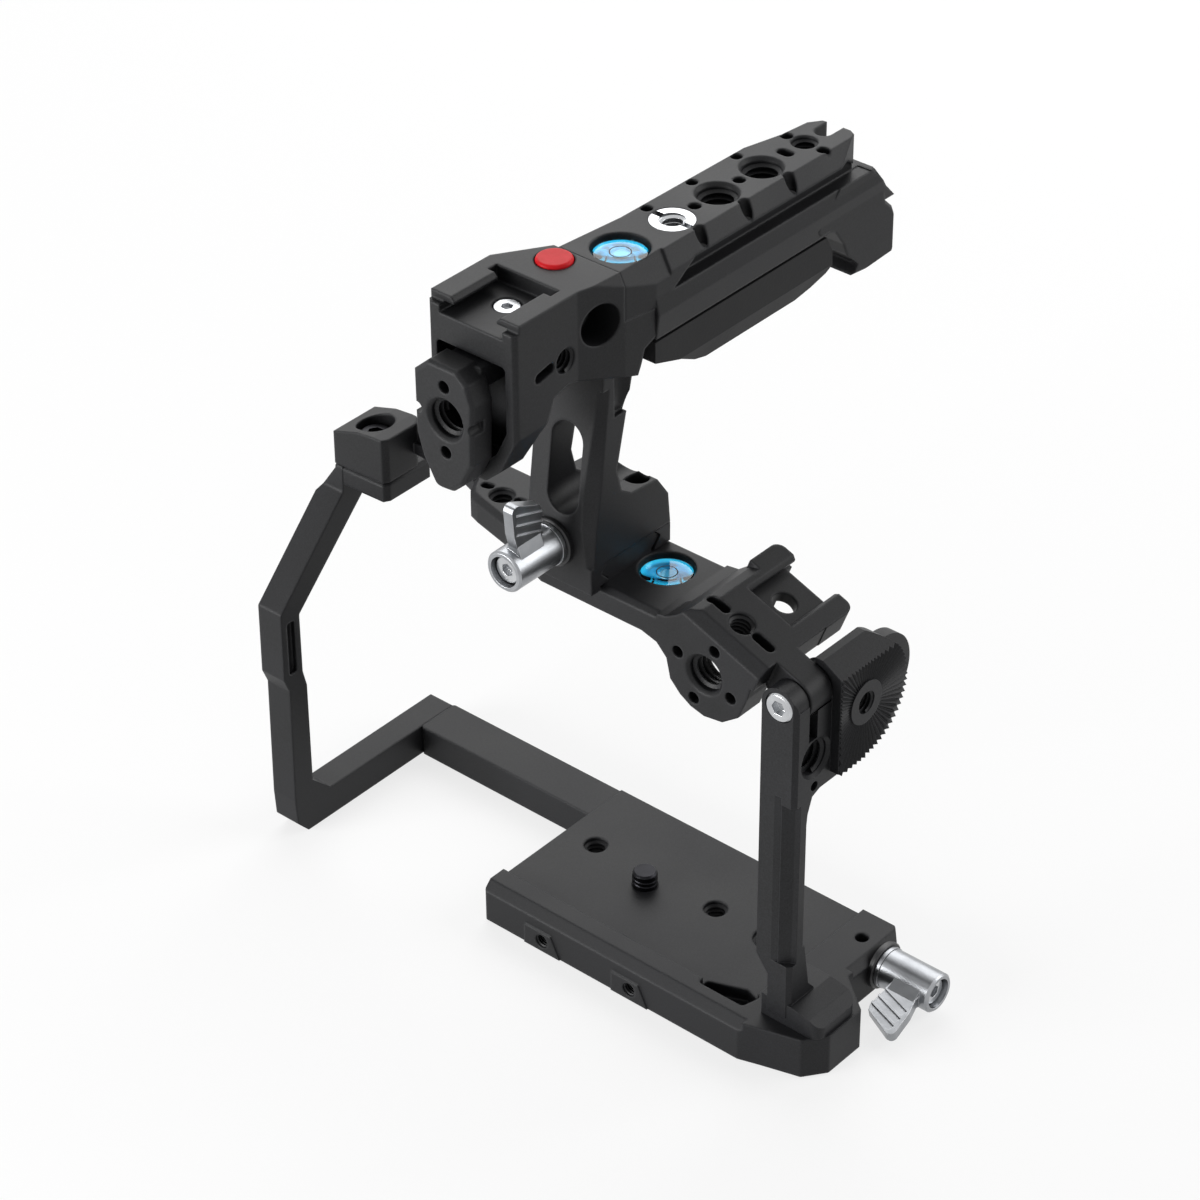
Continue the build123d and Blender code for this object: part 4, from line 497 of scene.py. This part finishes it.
def fluid_cup(case_r, case_h):
    """The fluid, hollowed at the top as the cup's rim stands over it, with a small chamfer at its foot."""
    wall = case_r - CUP_WALL_MM
    return turned([(0, FLUID_TOP_MM), (case_r - 1.4, FLUID_TOP_MM), (case_r - 0.6, CUP_RIM_MM),
                   (wall, CUP_RIM_MM), (wall, 0.3 - case_h), (wall - 0.3, -case_h), (0, -case_h)])


def domed_lens(case_r):
    """A lens whose top falls slowly from the middle and fast at the edge, with a small chamfer at its foot."""
    turns = [step / DOME_POINTS * math.pi / 2 for step in range(DOME_POINTS)]
    dome = [(case_r * math.sin(turn), LENS_EDGE_MM * (1 - math.cos(turn)) ** DOME_FALL) for turn in turns]
    return turned(dome + [(case_r, LENS_EDGE_MM), (case_r, LENS_FOOT_MM + 0.15), (case_r - 0.15, LENS_FOOT_MM),
                          (0, LENS_FOOT_MM)])


def printed_circle():
    """A flat eight-sided section, spun into a ring."""
    band = bmesh.new()
    upright = Matrix.Rotation(math.pi / 2, 4, "X") @ Matrix.Scale(RING_FLAT, 4, (0, 1, 0))
    bmesh.ops.create_circle(band, cap_ends=True, segments=8, radius=RING_W_MM / 2 * MM,
                            matrix=Matrix.Translation((RING_R_MM * MM, 0, 0)) @ upright)
    bmesh.ops.spin(band, geom=band.verts[:] + band.edges[:], cent=(0, 0, 0), axis=(0, 0, 1),
                   angle=2 * math.pi, steps=72, use_merge=True)
    return band


def air_bubble():
    """A flattened ball."""
    air = bmesh.new()
    middle = Matrix.Translation(Vector((*BUBBLE_OFF_MM, FLUID_TOP_MM)) * MM)
    bmesh.ops.create_uvsphere(air, u_segments=32, v_segments=12, radius=BUBBLE_R_MM * MM,
                              matrix=middle @ Matrix.Scale(BUBBLE_FLAT, 4, (0, 0, 1)))
    return air


for name, level in LEVELS.items():
    low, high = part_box(level["case"])
    case_r, case_h = (high.x - low.x) / 2 / MM, (high.z - low.z) / MM
    at_top = Matrix.Translation(((low.x + high.x) / 2, (low.y + high.y) / 2, high.z))
    sunk = at_top @ Matrix.Translation((0, 0, -RING_SINK_MM * MM))
    body = level["body"]
    fluid = finish_piece(fluid_cup(case_r, case_h), name + "_cup", FLUIDS[name], body, at_top)
    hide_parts(level["fluid"])
    lens = finish_piece(domed_lens(case_r), name + "_lens", CLEAR_ACRYLIC, body, at_top)
    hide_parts(level["case"])
    finish_piece(printed_circle(), name + "_circle", RING_PRINT, body, sunk)
    finish_piece(air_bubble(), name + "_bubble", BUBBLE_SKIN, body, at_top)
    print(name, "radius:", round(case_r, 2), "mm, height:", round(case_h, 2), "mm")

# %% [markdown]
# ## Floor and surround
# The cage stands on a pale floor under a white surround. What the camera sees directly, in a shiny surface or through
# acrylic is plain white, so both are bright for those rays. For all other light the surround is a dim fill, which
# keeps the black pieces black, and the floor is matt and takes the soft shadow.

# %% Floor and surround
FLOOR_SIZE, FLOOR_DROP, FLOOR_GLOW, FILL = 3.0, 0.0005, 0.75, 0.25


def straight_rays(tree):
    """1 for rays that come from the camera, from a mirror or through acrylic, and 0 for all others."""
    rays = add_node(tree, "ShaderNodeLightPath").outputs
    seen = rays["Is Camera Ray"]
    for kind in ("Is Glossy Ray", "Is Transmission Ray"):
        seen = add_node(tree, "ShaderNodeMath", {"operation": "MAXIMUM"}, {0: seen, 1: rays[kind]}).outputs[0]
    return seen


floor_mesh = bmesh.new()
bmesh.ops.create_grid(floor_mesh, x_segments=1, y_segments=1, size=FLOOR_SIZE)
floor_data = bpy.data.meshes.new("studio_floor")
floor_mesh.to_mesh(floor_data)
floor_mesh.free()
floor = add_object("studio_floor", floor_data)
floor.location.z = -FLOOR_DROP
floor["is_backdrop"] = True

floor_material, floor_tree, floor_shader, _ = open_material("matt_white_floor", Roughness=0.9)
floor_shader.inputs["Base Color"].default_value = linear("#f2f2f2")
share = add_node(floor_tree, "ShaderNodeMath", {"operation": "MULTIPLY", 1: FLOOR_GLOW},
                 {0: straight_rays(floor_tree)})
glow = add_node(floor_tree, "ShaderNodeEmission", {"Color": (1, 1, 1, 1), "Strength": 1.0})
both = add_node(floor_tree, "ShaderNodeMixShader", None,
                {0: share.outputs[0], 1: floor_shader.outputs["BSDF"], 2: glow.outputs["Emission"]})
floor_tree.links.new(both.outputs["Shader"], floor_tree.nodes["Material Output"].inputs["Surface"])
floor_data.materials.append(floor_material)

world = bpy.data.worlds.new("white_surround")
bpy.context.scene.world = world
world.use_nodes = True
surround = world.node_tree.nodes["Background"].inputs
surround["Color"].default_value = (1, 1, 1, 1)
world.node_tree.links.new(spread(world.node_tree, straight_rays(world.node_tree), 0.0, 1.0, FILL, 1.0),
                          surround["Strength"])
print("stage:", floor.name, "and", world.name)

# %% [markdown]
# ## Lights
# Three square softboxes face the middle of the cage. The largest stands above and behind and draws the top faces, a
# low one on the lens side lifts the fronts, and one at the right rear brightens the slanted right faces.

# %% Three softboxes
MIDDLE = Vector((-12, 6, 90)) * MM


def soft_light(name, direction, distance, size, watts):
    """A square area light that faces the middle of the cage."""
    lamp = bpy.data.lights.new(name, "AREA")
    lamp.shape, lamp.size, lamp.energy = "SQUARE", size, watts
    holder = add_object(name, lamp)
    holder.location = MIDDLE + Vector(direction).normalized() * distance
    holder.rotation_euler = (MIDDLE - holder.location).to_track_quat("-Z", "Y").to_euler()


soft_light("back_top_softbox", (-0.52, 0.60, 0.68), 1.3, 1.2, 11)
soft_light("lens_side_softbox", (-0.40, -0.90, 0.10), 1.0, 0.6, 15)
soft_light("right_rear_softbox", (0.60, 0.62, 0.42), 1.2, 0.8, 7)

# %% [markdown]
# ## Camera
# A long lens looks down at the cage from its lens side and right, so that near and far parts keep nearly one scale.
# Its place is given by the angles of the line of sight, a point on that line and the distance from it.

# %% Camera
AZIMUTH, ELEVATION, ROLL = (math.radians(degrees) for degrees in (40.93975, 34.87016, -0.42693))
SENSOR_MM, LENS_MM = 36.0, 114.1219
AIM, DISTANCE = Vector((-24.995, 12.145, 80.243)) * MM, 951.016 * MM

right = Vector((math.cos(AZIMUTH), math.sin(AZIMUTH), 0))
level_back = Vector((math.sin(AZIMUTH), -math.cos(AZIMUTH), 0))
back = level_back * math.cos(ELEVATION) + Vector((0, 0, math.sin(ELEVATION)))
up = back.cross(right)
tilted_right = right * math.cos(ROLL) + up * math.sin(ROLL)
tilted_up = up * math.cos(ROLL) - right * math.sin(ROLL)
camera_data = bpy.data.cameras.new("studio_camera")
camera_data.sensor_width, camera_data.lens = SENSOR_MM, LENS_MM
camera = add_object("studio_camera", camera_data)
turn = Matrix((tilted_right, tilted_up, back)).transposed().to_4x4()
camera.matrix_world = Matrix.Translation(AIM + back * DISTANCE) @ turn
bpy.context.scene.camera = camera
print("camera at", [round(v, 3) for v in camera.matrix_world.translation], "m, lens:", LENS_MM, "mm")

# %% [markdown]
# ## Picture settings and sizes
# The Standard view shows each colour as written. The size of the dressed model, floor aside, is printed.

# %% View transform, sizes and the end
bpy.context.scene.view_settings.view_transform = "Standard"
low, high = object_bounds()
print("visual box:", [round(v, 4) for v in low], [round(v, 4) for v in high])
